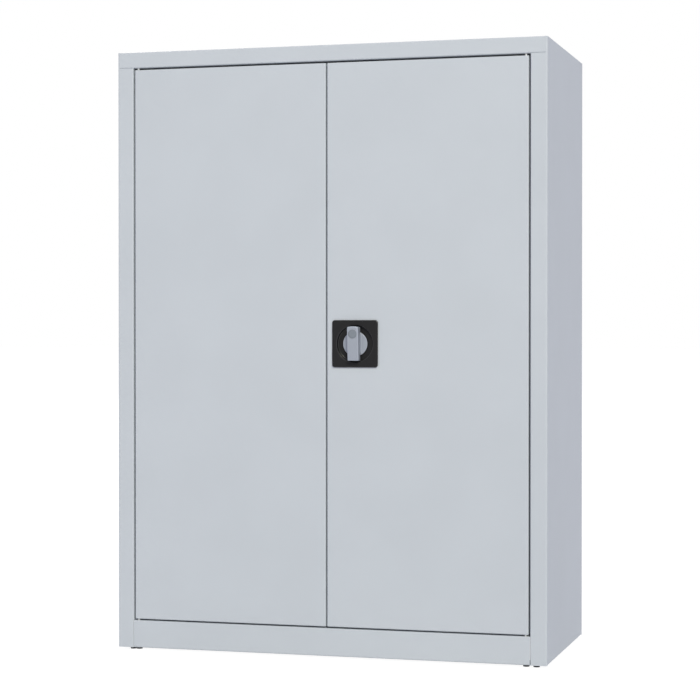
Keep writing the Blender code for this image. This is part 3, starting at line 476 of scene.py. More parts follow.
def rounded(corners, radii):
    """A polyline whose inner corners are arcs that touch both of their legs.

    An arc's centre is on the corner's bisector, radius / sin(half angle) away, and its points
    turn evenly about it. A corner of radius 0 gives the same point BEND_STEPS times, so it
    marks a place where something along the path may change at once.
    """
    corners = np.asarray(corners, float)
    inner = corners[1:-1]
    radii = np.broadcast_to(radii, len(inner))[:, None]
    before = unit(corners[:-2] - inner)
    after = unit(corners[2:] - inner)
    half = np.arccos(np.clip((before * after).sum(1), -1, 1))[:, None] / 2
    arm = radii / np.tan(half)
    straight = np.linalg.norm(before + after, axis=1, keepdims=True) < MERGE
    bisector = unit(np.where(straight, 1.0, before + after))
    centre = inner + bisector * radii / np.sin(half)
    turn = np.pi - 2 * half
    share = np.linspace(0, 1, BEND_STEPS)[:, None, None]
    whole = np.where(turn < MERGE, 1.0, np.sin(turn))
    from_start = np.sin((1 - share) * turn) / whole * (inner + before * arm - centre)
    from_end = np.sin(share * turn) / whole * (inner + after * arm - centre)
    arcs = (centre + from_start + from_end).transpose(1, 0, 2).reshape(-1, corners.shape[1])
    return np.vstack([corners[:1], arcs, corners[-1:]])


def bend_marks(radii, corners):
    """1 in the middle of each bend of a path, 0 at its ends and on its flats."""
    turned = np.broadcast_to(radii, corners - 2)[:, None] > 0
    arch = turned * np.sin(np.pi * np.linspace(0, 1, BEND_STEPS))
    return np.concatenate([[0.0], arch.ravel(), [0.0]])


def on_legs(values):
    """One value for each leg of a path, repeated for the points that `rounded` gives it."""
    counts = np.full(len(values), BEND_STEPS)
    counts[[0, -1]] = BEND_STEPS // 2 + 1
    return np.repeat(np.asarray(values, float), counts)


print("points on a path of one bend:", len(rounded([(0, 0), (1, 0), (1, 1)], 0.1)))

# %% [markdown]
# A panel's points lie on a grid: one direction crosses the folds and the other runs along them.
# Numpy works out the whole grid at once, and the cells between the points are the faces. Each
# point also says how much of a bend it lies on, so that a finish can treat the bends apart.

# %% A grid of points as a mesh
def grid_faces(rows, columns, closed):
    """Each cell of the grid as its four corner numbers; a closed grid joins its last row on."""
    index = np.arange(rows * columns).reshape(rows, columns)
    index = np.vstack([index, index[:1]]) if closed else index
    corners = index[:-1, :-1], index[1:, :-1], index[1:, 1:], index[:-1, 1:]
    return np.stack(corners, -1)


def new_piece(name, body, slot, stands_for):
    """An empty mesh at the origin that rides on its body and takes the nodes' place."""
    piece = empty_mesh(name)
    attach(piece, body)
    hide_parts(*stands_for)
    piece.data.materials.append(finishes[slot])
    return piece


def stands_still(path):
    """True for each step of a path that goes nowhere, where the sheet is slit."""
    return np.linalg.norm(np.diff(path, axis=0), axis=1) < MERGE


def span(mesh, points, closed=False, facing=None, slit=False, bends=0.0):
    """Fills a mesh with the grid's faces, merges what coincides and turns the faces outwards.

    The rows of cells that `slit` marks are left out. An open sheet has no outside, so its
    widest face is turned to look along `facing`. `bends` says how much each point is on a
    bend, which the finishes read.
    """
    faces = grid_faces(*points.shape[:2], closed)
    kept = faces[~np.broadcast_to(slit, len(faces))].reshape(-1, 4)
    mesh.from_pydata(points.reshape(-1, 3), [], kept)
    marks = np.broadcast_to(bends, points.shape[:2]).astype(np.float32).ravel()
    mesh.attributes.new("bend", "FLOAT", "POINT").data.foreach_set("value", marks)
    work = bmesh.new()
    work.from_mesh(mesh)
    bmesh.ops.remove_doubles(work, verts=work.verts, dist=MERGE)
    bmesh.ops.dissolve_degenerate(work, edges=work.edges, dist=MERGE)
    loose = [vert for vert in work.verts if not vert.link_faces]
    bmesh.ops.delete(work, geom=loose, context="VERTS")
    bmesh.ops.recalc_face_normals(work, faces=work.faces)
    widest = max(work.faces, key=lambda face: face.calc_area())
    if facing is not None and widest.normal.dot(Vector(facing)) < 0:
        bmesh.ops.reverse_faces(work, faces=work.faces)
    work.to_mesh(mesh)
    work.free()


print("cells in a grid of 3 by 4 points:", grid_faces(3, 4, False).size // 4)

# %% [markdown]
# The grid has no thickness yet. A Solidify modifier gives it the sheet's wall, and Booleans
# punch the holes. Holes in the grid would leave tidier faces, but a punched hole takes one
# line and can stand anywhere.

# %% Thickness, holes and smooth shading
CREASE = math.radians(40)
FLAT_WEIGHT = 100
PLACE_STEP = 1e-5
WELD = 4e-6


def bake_modifiers(piece):
    """Replaces the mesh by what its modifiers make of it."""
    graph = bpy.context.evaluated_depsgraph_get()
    made = bpy.data.meshes.new_from_object(piece.evaluated_get(graph))
    piece.modifiers.clear()
    piece.data = made
    piece.data.name = piece.name


def thicken(piece):
    """Gives a folded sheet its wall on the inner side."""
    wall = piece.modifiers.new("wall", "SOLIDIFY")
    wall.thickness = SHEET
    wall.offset = -1
    wall.use_even_offset = True
    bake_modifiers(piece)


def weld(mesh):
    """Merges points that lie closer than WELD and drops the faces that this closes up.

    A face of many corners may be slightly bent, and the next Boolean could lose a part of
    it, so such faces are split into triangles.
    """
    work = bmesh.new()
    work.from_mesh(mesh)
    bmesh.ops.remove_doubles(work, verts=work.verts, dist=WELD)
    bmesh.ops.dissolve_degenerate(work, edges=work.edges, dist=WELD)
    bmesh.ops.triangulate(work, faces=[face for face in work.faces if len(face.verts) > 4])
    work.to_mesh(mesh)
    work.free()


def place_keys(mesh):
    """Each vertex's place as one whole number: its three steps of PLACE_STEP side by side."""
    places = np.empty(3 * len(mesh.vertices))
    mesh.vertices.foreach_get("co", places)
    steps = np.rint(places.reshape(-1, 3) / PLACE_STEP).astype(np.int64)
    return steps @ np.array([1, 10**6, 10**12])


def bend_values(mesh):
    """How much of a bend each vertex lies on."""
    values = np.zeros(len(mesh.vertices), np.float32)
    mesh.attributes["bend"].data.foreach_get("value", values)
    return values


def combine(piece, tools, operation="DIFFERENCE"):
    """Cuts closed tool meshes out of a closed piece, or joins them on, and removes the tools.

    A Boolean mixes up the bend marks, so they are read off first and given back by place.
    """
    sources = [piece.data, *(tool.data for tool in tools)]
    keys, first = np.unique(np.concatenate([place_keys(mesh) for mesh in sources]), True)
    marks = np.concatenate([bend_values(mesh) for mesh in sources])[first]
    for tool in tools:
        step = piece.modifiers.new(tool.name, "BOOLEAN")
        step.operation = operation
        step.object = tool
        step.solver = "EXACT"
    bake_modifiers(piece)
    for tool in tools:
        bpy.data.meshes.remove(tool.data)
    weld(piece.data)
    wanted = place_keys(piece.data)
    nearest = np.minimum(np.searchsorted(keys, wanted), len(keys) - 1)
    kept = np.where(keys[nearest] == wanted, marks[nearest], 0.0).astype(np.float32)
    piece.data.attributes["bend"].data.foreach_set("value", kept)


def smooth(piece):
    """Smooth shading up to the crease angle, with wide flat faces kept flat."""
    piece.data.shade_smooth()
    piece.data.set_sharp_from_angle(angle=CREASE)
    even = piece.modifiers.new("flat_faces", "WEIGHTED_NORMAL")
    even.keep_sharp = True
    even.weight = FLAT_WEIGHT
    print(piece.name, "faces:", len(piece.data.polygons))


print("crease angle in degrees:", round(math.degrees(CREASE)))

# %% [markdown]
# Holes are cut with round or square bars. A bar is a ring of points carried from one end to
# the other, with each end drawn in to its middle, so the tool is closed and cuts cleanly.

# %% Round and square bars
ROUND_POINTS = 48
STEEP = 0.9


def bar_tool(name, start, end, ring):
    """Carries a ring of (x, y) offsets from start to end, and closes both ends to a point."""
    start, end = np.asarray(start, float), np.asarray(end, float)
    ahead = unit(end - start)
    aside = (0.0, 0.0, 1.0) if abs(ahead[2]) < STEEP else (0.0, 1.0, 0.0)
    first = unit(np.cross(ahead, aside))
    second = np.cross(ahead, first)
    offsets = ring[:, :1] * first + ring[:, 1:] * second
    size = np.array([0.0, 1.0, 1.0, 0.0])[None, :, None]
    places = np.array([start, start, end, end])[None]
    tool = empty_mesh(name)
    span(tool.data, places + offsets[:, None] * size, closed=True)
    return tool


def round_ring(radius, count=ROUND_POINTS):
    """Evenly spaced points on a circle."""
    angle = np.linspace(0, 2 * np.pi, count, endpoint=False)
    return radius * np.column_stack([np.cos(angle), np.sin(angle)])


def square_ring(width, depth):
    """The four corners of a rectangle about its middle."""
    return np.array([(-1, -1), (1, -1), (1, 1), (-1, 1)]) * (width / 2, depth / 2)


def upright_holes(places, radius, low, high):
    """Bars along Z that stand at (x, y) places."""
    ring = round_ring(radius)
    return [bar_tool("hole", (x, y, low), (x, y, high), ring) for x, y in places]


print("corners of a round bar:", ROUND_POINTS)

# %% [markdown]
# ## Carcass
#
# Each side is one sheet: back flange, web, and a front post that turns back on itself. The
# top and the bottom hang between the sides, so the post stops under the band, a hair inside the
# hollow of its bend, and no light shows between the two. A path in plan gives the folds, and
# each leg of it has its own top and bottom level. Cutting the notches with Booleans would also
# work, but level steps along the path leave cleaner faces.

# %% Side panels
BACK_FLANGE = 0.0200
POST_RETURN = 0.0280
POST_LIP = 0.0120
BAND_Z = 1.0712
HOLLOW_REACH = 0.0002
POST_TOP = BAND_Z + HOLLOW_REACH
FOOT_CLEARANCE = 0.0046
HAIR = 0.00005
STRIP_X = TUCKED_X - BEND + HAIR


def side_panel(name, side):
    """Path (x, y) in plan, carried from each leg's bottom to its top.

    The web's bottom edge carries on round a bend into an inward flange. Every leg passes the
    same list of levels, held between its own bottom and top, so neighbours share their edges.
    """
    behind = FRONT_Y + POST_RETURN
    radii = (0, BEND, 0, 0, BEND, 0, BEND, 0, BEND)
    path = rounded(
        [
            (HALF_WIDTH - BACK_FLANGE, BACK_Y),
            (CORNER_X, BACK_Y),
            (HALF_WIDTH, BACK_Y),
            (HALF_WIDTH, BACK_Y - RELIEF),
            (HALF_WIDTH, FRONT_Y + RELIEF),
            (HALF_WIDTH, FRONT_Y),
            (STRIP_X, FRONT_Y),
            (OPENING_X, FRONT_Y),
            (OPENING_X, FRONT_Y + RELIEF),
            (OPENING_X, behind),
            (OPENING_X + POST_LIP, behind),
        ],
        radii,
    )
    back_top = TOP_Z - FOLD - SEAT
    tops = on_legs([back_top] + [TOP_Z] * 5 + [POST_TOP] * 4)[:, None]
    feet = on_legs([BASE_Z] * 8 + [BASE_Z + FOOT_CLEARANCE] * 2)[:, None]
    on_web = on_legs([0, 0, 0, 1, 0, 0, 0, 0, 0, 0])[:, None]
    fold = rounded([(FOLD, 0.0), (0.0, 0.0), (0.0, FOLD)], BEND)[:-1]
    levels = np.array([BASE_Z, BASE_Z + FOOT_CLEARANCE, POST_TOP, back_top, TOP_Z])
    straight = np.clip(levels, feet + BEND * on_web, tops)
    heights = np.concatenate([feet + fold[:, 1] * on_web, straight], axis=1)
    inwards = np.append(fold[:, 0], np.zeros(len(levels))) * on_web
    across = path[:, :1] - inwards
    depth = np.broadcast_to(path[:, 1:], across.shape)
    piece = new_piece(f"{name}_sheet", "carcass", "grey_paint", [name])
    points = np.stack([side * across, depth, heights], -1)
    bends = np.maximum(
        bend_marks(radii, len(radii) + 2)[:, None],
        np.append(bend_marks([BEND], 3)[:-1], np.zeros(len(levels))) * on_web,
    )
    span(piece.data, points, facing=(side, 0, 0), slit=stands_still(path), bends=bends)
    thicken(piece)
    smooth(piece)


side_panel("side_panel_left", -1)
side_panel("side_panel_right", 1)

# %% [markdown]
# The top and the bottom are trays: a path in side view, carried across the cabinet. Only the
# long flat leg is wider than the rest, and its ends fold down inside the side panels.

# %% Top and bottom trays
STEP_Y = -0.155
STOP_LIP = 0.0120
LEDGE_Z, FLOOR_Z = 0.0551, 0.0705
PLINTH_RETURN = 0.0200
TOP_HALF = CORNER_X - 2 * SEAT
BAND_HALF = TUCKED_X - BEND
PLINTH_HALF = OPENING_X - SEAT
LIP_HALF = PLINTH_HALF - SEAT
BACK_SHEET_FRONT = BACK_Y - 2 * SHEET - SEAT
PIVOT_X, PIVOT_Y = 0.3616, -0.174
BUSH_HOLE = 0.0034
LOCK_X, ROD_Y = 0.0538, -0.1672
ROD_HOLE = 0.0030
DRILL_REACH = 0.0030
NUB_X, NUB_Y = 0.362, -0.171
NUB_HOLE = 0.0060
WIDE_LEG = 5


def tray(name, corners, radii, halves, holes):
    """Path (y, z) in side view; each leg has its half width, and the wide one folds down.

    Every leg passes the same stations across, held within its own half width.
    """
    path = rounded(corners, radii)
    half = on_legs(halves)[:, None]
    wide = on_legs(np.arange(len(halves)) == WIDE_LEG)[:, None]
    outer = half.max()
    fold = rounded([(-outer, -FOLD), (-outer, 0.0), (outer, 0.0), (outer, -FOLD)], BEND)
    left, right = np.split(fold, 2)
    edges = np.unique(halves)[:-1]
    on_flat = np.zeros(2 * len(edges))
    stations = np.concatenate([left[:, 0], -edges[::-1], edges, right[:, 0]])
    drops = np.concatenate([left[:, 1], on_flat, right[:, 1]])
    across = np.clip(stations, -half, half)
    depth = np.broadcast_to(path[:, :1], across.shape)
    height = path[:, 1:] + wide * drops
    piece = new_piece(f"{name}_sheet", "carcass", "grey_paint", [name])
    points = np.stack([across, depth, height], -1)
    left, right = np.split(bend_marks([BEND, BEND], 4), 2)
    ends = np.concatenate([left, on_flat, right]) * wide
    bends = np.maximum(bend_marks(radii, len(corners))[:, None], ends)
    span(piece.data, points, facing=(0, 0, 1), slit=stands_still(path), bends=bends)
    thicken(piece)
    combine(piece, holes)
    smooth(piece)


def ledge_holes(level):
    """Holes in a door ledge for the two hinge bushes and the locking rod."""
    low, high = level - DRILL_REACH, level + DRILL_REACH
    pivots = upright_holes([(-PIVOT_X, PIVOT_Y), (PIVOT_X, PIVOT_Y)], BUSH_HOLE, low, high)
    return pivots + upright_holes([(LOCK_X, ROD_Y)], ROD_HOLE, low, high)


tray(
    "top_panel",
    [
        (STEP_Y, BAND_Z - STOP_LIP),
        (STEP_Y, BAND_Z - RELIEF),
        (STEP_Y, BAND_Z),
        (FRONT_Y, BAND_Z),
        (FRONT_Y, TOP_Z),
        (FRONT_Y + RELIEF, TOP_Z),
        (BACK_Y - RELIEF, TOP_Z),
        (BACK_Y, TOP_Z),
        (BACK_Y, TOP_Z - FOLD),
    ],
    (0, BEND, BEND, BEND, 0, 0, BEND),
    [LIP_HALF, LIP_HALF, TOP_HALF, BAND_HALF, BAND_HALF, TUCKED_X, TOP_HALF, TOP_HALF],
    ledge_holes(BAND_Z),
)
nubs = [(-NUB_X, NUB_Y), (NUB_X, NUB_Y)]
nub_holes = upright_holes(nubs, NUB_HOLE, BASE_Z - DRILL_REACH, BASE_Z + DRILL_REACH)
floor_front, floor_back = FRONT_Y + POST_RETURN + SEAT, BACK_SHEET_FRONT - SEAT
tray(
    "bottom_panel",
    [
        (FRONT_Y + PLINTH_RETURN, BASE_Z),
        (FRONT_Y, BASE_Z),
        (FRONT_Y, LEDGE_Z),
        (STEP_Y, LEDGE_Z),
        (STEP_Y, FLOOR_Z),
        (floor_front, FLOOR_Z),
        (floor_back - RELIEF, FLOOR_Z),
        (floor_back, FLOOR_Z),
        (floor_back, FLOOR_Z - FOLD),
    ],
    (BEND, BEND, BEND, BEND, 0, 0, BEND),
    [PLINTH_HALF] * 5 + [TUCKED_X] + [PLINTH_HALF] * 2,
    ledge_holes(LEDGE_Z) + nub_holes,
)

# %% [markdown]
# ## Doors
#
# A door is a pan: the face, a return all round and a lip that stiffens its free edge. Going
# round the door is one direction of the grid and going from the lip over the bends to the
# middle of the face is the other, so all four edges get the same bend at once.

# %% Door pans
DOOR_DEPTH = 0.0180
DOOR_LIP = 0.0120
PAN_CORNER = 0.0012
HAT_DEPTH, HAT_WEB, HAT_FOOT = 0.0140, 0.0500, 0.0120
SHELF_LIP = 0.0120
CORNER_STEPS = 5
DOOR_LOW, DOOR_HIGH = 0.0578, 1.0676
DOOR_INNER, DOOR_OUTER = 0.00125, 0.3670
PIN_HOLE = 0.0023
LOCK_Z = 0.5653
DISH_HOLE = 0.0353
EAR_SLOT = (0.0056, 0.0029)
EAR_OFFSET = 0.0055


def corner_ring(half_x, half_z, radius):
    """A rectangle with round corners: four quarter turns about centres set in by the radius."""
    turn = np.linspace(0, np.pi / 2, CORNER_STEPS)
    angle = (np.arange(4)[:, None] * np.pi / 2 + turn).ravel()
    quarter = np.repeat(np.arange(4), CORNER_STEPS)
    sign_x = np.array([1, -1, -1, 1])[quarter]
    sign_z = np.array([1, 1, -1, -1])[quarter]
    along_x = sign_x * (half_x - radius) + radius * np.cos(angle)
    along_z = sign_z * (half_z - radius) + radius * np.sin(angle)
    return np.stack([along_x, along_z], -1)


def pan_rings(half_u, half_v, depth, lip):
    """Rings of a pan's outline, set in and back as the profile (inset, depth) says.

    Each ring is carried from the lip over both bends, and the last one shrinks to the middle.
    """
    inset, back = rounded([(lip, depth), (0, depth), (0, 0), (lip, 0)], BEND).T
    rings = corner_ring(half_u - inset[:, None], half_v - inset[:, None], PAN_CORNER)
    rings = np.concatenate([rings, np.zeros((1, *rings.shape[1:]))]).transpose(1, 0, 2)
    return rings[..., 0], rings[..., 1], np.append(back, 0.0)


def pressed_pan(piece, points, facing, holes=()):
    """Fills a piece with pan rings, then thickens, drills and smooths it."""
    places = np.stack(np.broadcast_arrays(*points), -1)
    bends = np.append(bend_marks([BEND, BEND], 4), 0.0)
    span(piece.data, places, closed=True, facing=facing, bends=bends)
    thicken(piece)
    if holes:
        combine(piece, holes)
    smooth(piece)


def door_pan(label, side, holes):
    """Pan rings about the door's middle, with the face on the cabinet's front plane."""
    half_x, half_z = (DOOR_OUTER - DOOR_INNER) / 2, (DOOR_HIGH - DOOR_LOW) / 2
    across, up, back = pan_rings(half_x, half_z, DOOR_DEPTH, DOOR_LIP)
    middle_x, middle_z = side * (DOOR_INNER + DOOR_OUTER) / 2, (DOOR_LOW + DOOR_HIGH) / 2
    piece = new_piece(f"door_{label}_pan", f"door_{label}", "grey_paint", [f"door_{label}"])
    points = middle_x + across, FRONT_Y + back, middle_z + up
    pressed_pan(piece, points, (0, -1, 0), holes)


def stiffener(label, side):
    """A hat section (x, y) carried up the middle of a door, behind its face."""
    foot, crown = FRONT_Y + 2 * SHEET + SEAT, FRONT_Y + HAT_DEPTH
    half, end = HAT_WEB / 2, HAT_WEB / 2 + HAT_FOOT
    corners = [(-end, foot), (-half, foot), (-half, crown)]
    corners += [(-x, y) for x, y in reversed(corners)]
    path = rounded(corners, BEND)
    margin = DOOR_LIP + HAT_FOOT
    levels = np.array([DOOR_LOW + margin, DOOR_HIGH - margin])
    middle = side * (DOOR_INNER + DOOR_OUTER) / 2
    points = np.stack(np.broadcast_arrays(middle + path[:, :1], path[:, 1:], levels), -1)
    name = f"door_stiffener_{label}"
    piece = new_piece(f"{name}_hat", f"door_{label}", "grey_paint", [name])
    bends = bend_marks([BEND] * 4, len(corners))[:, None]
    span(piece.data, points, facing=(0, 1, 0), bends=bends)
    thicken(piece)
    smooth(piece)


def shelf_tray(name):
    """A pan turned face up, as wide and as deep as the shelf's own CAD node."""
    shelf = nodes[name]
    places = np.array([shelf.matrix_world @ Vector(corner) for corner in shelf.bound_box])
    low, high = places.min(0), places.max(0)
    half = (high - low) / 2
    across, along, down = pan_rings(half[0], half[1], high[2] - low[2], SHELF_LIP)
    middle = (low + high) / 2
    piece = new_piece(f"{name}_tray", name, "grey_paint", [name])
    points = middle[0] + across, middle[1] + along, high[2] - down
    pressed_pan(piece, points, (0, 0, 1))


def edge_holes(places, radius):
    """Holes through a door's bottom and top returns."""
    low = upright_holes(places, radius, DOOR_LOW - DRILL_REACH, DOOR_LOW + DRILL_REACH)
    return low + upright_holes(places, radius, DOOR_HIGH - DRILL_REACH, DOOR_HIGH + DRILL_REACH)


def lock_holes():
    """The dish's opening, the rods' holes and the two slots for the lower guide's ears."""
    dish = bar_tool(
        "hole",
        (LOCK_X, FRONT_Y - DRILL_REACH, LOCK_Z),
        (LOCK_X, FRONT_Y + DRILL_REACH, LOCK_Z),
        round_ring(DISH_HOLE, 2 * ROUND_POINTS),
    )
    ears = [
        bar_tool(
            "hole",
            (LOCK_X + way * EAR_OFFSET, ROD_Y, DOOR_LOW - DRILL_REACH),
            (LOCK_X + way * EAR_OFFSET, ROD_Y, DOOR_LOW + DRILL_REACH),
            square_ring(*EAR_SLOT),
        )
        for way in (-1, 1)
    ]
    return [dish, *ears, *edge_holes([(LOCK_X, ROD_Y)], ROD_HOLE)]


door_pan("left", -1, edge_holes([(-PIVOT_X, PIVOT_Y)], PIN_HOLE))
door_pan("right", 1, edge_holes([(PIVOT_X, PIVOT_Y)], PIN_HOLE) + lock_holes())
stiffener("left", -1)
stiffener("right", 1)
shelf_tray("shelf_lower")
shelf_tray("shelf_upper")

# %% [markdown]
# ## Lock
#
# The lock plate is one moulding: a square frame with round corners around a deep round dish.
# Its cross-section is a closed loop, carried once round the knob's axis. Outside, the loop
# follows a rounded square, and inside it follows a circle, so a single surface makes both.
# A dish cut out of a block would need its round rim added later.

# %% Lock plate
PLATE_HALF, PLATE_CORNER, PLATE_PROUD = 0.0422, 0.0050, 0.0030
DISH_RADIUS, DISH_WALL, DISH_FLOOR = 0.0335, 0.0015, 0.0060
DISH_FRONT, DISH_TAPER = 0.0034, 0.0010
SHANK_HOLE = 0.0083
BOSS_RADIUS, BOSS_OFFSET, BOSS_LENGTH = 0.0040, 0.0240, 0.0035
BOSS_BORE, BORE_DEPTH = 0.0020, 0.0088
PLATE_ROUNDS = (0, 0.0002, 0.0008, 0.0011, 0.0012, 0.0002, 0.0002, 0.0008)
TURN_POINTS = 192
PLATE_CORNER_STEPS = 13
ANGLE_DIGITS = 6


def square_reach(angle, half, corner):
    """The distance from the middle to a rounded square's edge in each direction.

    With u the larger and v the smaller of |cos| and |sin|, a flat side is half / u away. Past
    the flat, the ray meets the corner's circle, whose centre is set in by the corner radius.
    """
    wide = np.maximum(np.abs(np.cos(angle)), np.abs(np.sin(angle)))
    narrow = np.minimum(np.abs(np.cos(angle)), np.abs(np.sin(angle)))
    centre = half - corner
    along = centre * (wide + narrow)
    arc = along + np.sqrt(np.maximum(along**2 - 2 * centre**2 + corner**2, 0.0))
    return np.where(narrow * half <= centre * wide, half / wide, arc)


def about_lock(reach, depth, angle):
    """Points at a reach from the knob's axis and a depth behind the door's face."""
    across = LOCK_X + reach * np.cos(angle)
    up = LOCK_Z + reach * np.sin(angle)
    return np.stack(np.broadcast_arrays(across, FRONT_Y + depth, up), -1)


def lock_bar(x, radius, depths):
    """A round bar from front to back, x to the side of the knob's axis."""
    places = [(LOCK_X + x, FRONT_Y + depth, LOCK_Z) for depth in depths]
    return bar_tool("bar", *places, round_ring(radius))


def lock_plate():
    """A loop (reach, depth), square outside the dish and round within it, for all angles."""
    outer, back = DISH_RADIUS + DISH_WALL, DISH_FLOOR + DISH_WALL
    corners = [
        (outer, BEND),
        (outer, -SEAT),
        (PLATE_HALF, -SEAT),
        (PLATE_HALF, -PLATE_PROUD),
        (DISH_RADIUS, -PLATE_PROUD),
        (DISH_RADIUS - DISH_TAPER, DISH_FRONT),
        (SHANK_HOLE, DISH_FRONT),
        (SHANK_HOLE, back),
        (outer, back),
        (outer, BEND),
    ]
    loop = rounded(corners, PLATE_ROUNDS)
    reach, depth = loop[:, 0], loop[:, 1:]
    flats = np.linspace(0, 2 * np.pi, TURN_POINTS, endpoint=False)
    turn = math.atan2(PLATE_HALF - PLATE_CORNER, PLATE_HALF)
    arc = np.linspace(turn, np.pi / 2 - turn, PLATE_CORNER_STEPS)
    arcs = arc + np.arange(4)[:, None] * np.pi / 2
    angle = np.unique(np.concatenate([flats, arcs.ravel()]).round(ANGLE_DIGITS))
    angle = np.append(angle, 2 * np.pi)
    corner = np.maximum(PLATE_CORNER - (PLATE_HALF - reach), SEAT)[:, None]
    square = square_reach(angle, reach[:, None], corner)
    on_plate = reach[:, None] > (PLATE_HALF + outer) / 2
    reach = np.where(on_plate, square, reach[:, None])
    piece = new_piece("lock_plate_moulding", "door_right", "black_plastic", ["lock_plate"])
    bends = bend_marks(PLATE_ROUNDS, len(corners))[:, None]
    span(piece.data, about_lock(reach, depth, angle), closed=True, bends=bends)
    bosses = (-BOSS_OFFSET, BOSS_OFFSET)
    boss = (back - SHEET, back + BOSS_LENGTH)
    combine(piece, [lock_bar(x, BOSS_RADIUS, boss) for x in bosses], "UNION")
    bore = (BORE_DEPTH, back + BOSS_LENGTH + DRILL_REACH)
    combine(piece, [lock_bar(x, BOSS_BORE, bore) for x in bosses])
    smooth(piece)


lock_plate()

# %% [markdown]
# The knob is one casting: a thin disc, a grip bar across it, and behind them a round shank with
# a square end for the cam. The bar is a wedge, higher at the top where the plug sits. Its top
# end is arched and its foot is straight, and both reach past the disc, clear of the plate. A
# polar outline gives the bar: in each direction it ends at the flat side, the arch or the foot,
# whichever comes first, with a soft turn between. A beveled box would have the same outline,
# but not the root that flares out into the disc.

# %% Knob
DISC_RADIUS, DISC_FACE, DISC_CROWN = 0.0224, -0.0004, 0.0003
FLANGE, BODY_RADIUS = 0.0012, 0.0195
SHANK_RADIUS, SHANK_END, SPINDLE_END = 0.0080, 0.0078, 0.0106
SPINDLE_SIZE = 0.0080
BAR_HALF_WIDTH, BAR_REACH, BAR_FOOT = 0.0101, 0.0312, 0.0300
HEAD_CENTRE = 0.0020
BAR_LIFT, FILLET = 0.0035, 0.0025
BAR_PROUD_TOP, BAR_PROUD_FOOT = 0.0200, 0.0150
SIDE_ROUND, END_ROUND, END_SHARPNESS = 0.0014, 0.0026, 8
SOFT_CORNER = 0.0009
FULLNESS = 0.0006
NEAR_CORNER, NEAR_STEPS, BAR_STEPS = (-0.14, 0.10), 21, 97
LEAST_STEP = 0.003
NO_ZERO = 1e-3
FACE_START, FACE_RINGS, CROWN_RINGS = 0.85, 9, 7
CUT_OVERLAP = 1.3 * FLANGE
RIM_START = 0.0011
KNOB_ROUNDS = (0.0008, 0.0003, 0.0004, 0.0004, 0.0002, 0.0002)
CYLINDER_RADIUS, CYLINDER_OFFSET, CYLINDER_LENGTH = 0.0075, 0.0174, 0.0120
BAR_SLOPE = (BAR_PROUD_TOP - BAR_PROUD_FOOT) / (2 * BAR_REACH)
ROUND_STEPS = 7


def bar_front(height):
    """How far the grip's face stands out: a straight slope, slightly full along its middle."""
    slope = BAR_PROUD_FOOT + BAR_SLOPE * (height + BAR_REACH)
    return slope + FULLNESS * np.cos(np.pi / 2 * height / BAR_REACH)


def bar_reach(angle, inset):
    """The nearest of the flat side, the arched top and the straight foot, in each direction.

    The top is a circle whose centre lies HEAD_CENTRE above the axis. Two reaches a and b meet
    softly as (a + b - sqrt((a - b)^2 + k^2)) / 2.
    """
    sine, cosine = np.sin(angle), np.cos(angle)
    side = (BAR_HALF_WIDTH - inset) / np.maximum(np.abs(cosine), NO_ZERO)
    arch = BAR_REACH - HEAD_CENTRE - inset
    head = HEAD_CENTRE * sine + np.sqrt(np.maximum(arch**2 - (HEAD_CENTRE * cosine) ** 2, 0))
    foot = (BAR_FOOT - inset) / np.maximum(-sine, NO_ZERO)
    end = np.where(sine > 0, head, foot)
    return (side + end - np.sqrt((side - end) ** 2 + SOFT_CORNER**2)) / 2


def grip_bar():
    """Rings of the bar's outline: a flared root, a wall, a rounded rim, then the face.

    The root is a quarter circle that leaves the disc level and meets the wall upright. The two
    ends that overhang the disc are cut off underneath, just clear of the lock plate. The steps
    round the axis are closer at the outline's four corners.
    """
    near = math.acos(BAR_HALF_WIDTH / BAR_REACH) + np.linspace(*NEAR_CORNER, NEAR_STEPS)
    whole_turn = np.linspace(0, 2 * np.pi, BAR_STEPS)
    angle = np.concatenate([near, np.pi - near, np.pi + near, -near, whole_turn])
    angle = np.unique((angle % (2 * np.pi)).round(ANGLE_DIGITS))
    angle = angle[np.diff(angle, append=2 * np.pi) > LEAST_STEP]
    angle = np.append(angle, angle[0] + 2 * np.pi)
    top = np.clip(np.sin(angle), 0, 1) ** END_SHARPNESS
    rim = SIDE_ROUND + (END_ROUND - SIDE_ROUND) * top
    turn = np.linspace(0, np.pi / 2, ROUND_STEPS)[:, None]
    level = np.zeros_like(angle)
    spread = FILLET * (1 - np.sin(turn)) + level
    inset = np.vstack([-spread[:1], -spread, rim * (1 - np.cos(turn))])
    drop = rim * (1 - np.sin(turn))
    reach = bar_reach(angle, inset)
    inner = reach[-1] * np.linspace(FACE_START, 0, FACE_RINGS)[:, None]
    reach = np.vstack([reach, inner])
    drop = np.vstack([drop, np.zeros_like(inner)])
    root = DISC_FACE - FILLET * (1 - np.cos(turn)) + level
    face = drop - bar_front(reach[len(root) + 1 :] * np.sin(angle))
    depth = np.vstack([level + DISC_FACE + SEAT, root, face])
    points = about_lock(reach, depth, angle)
    foot = about_lock(np.zeros((1, len(angle))), depth[:1], angle)
    bar = empty_mesh("grip_bar")
    # Bend marks on the bar's rounded rim, where the lacquer is painted lighter as a highlight.
    arch = np.zeros((len(points), 1))
    arch[len(root) + 1 :][:ROUND_STEPS] = np.sin(2 * turn)
    span(bar.data, np.vstack([foot, points]), bends=np.vstack([[[0.0]], arch]))
    combine(bar, [under_cut()])
    return bar


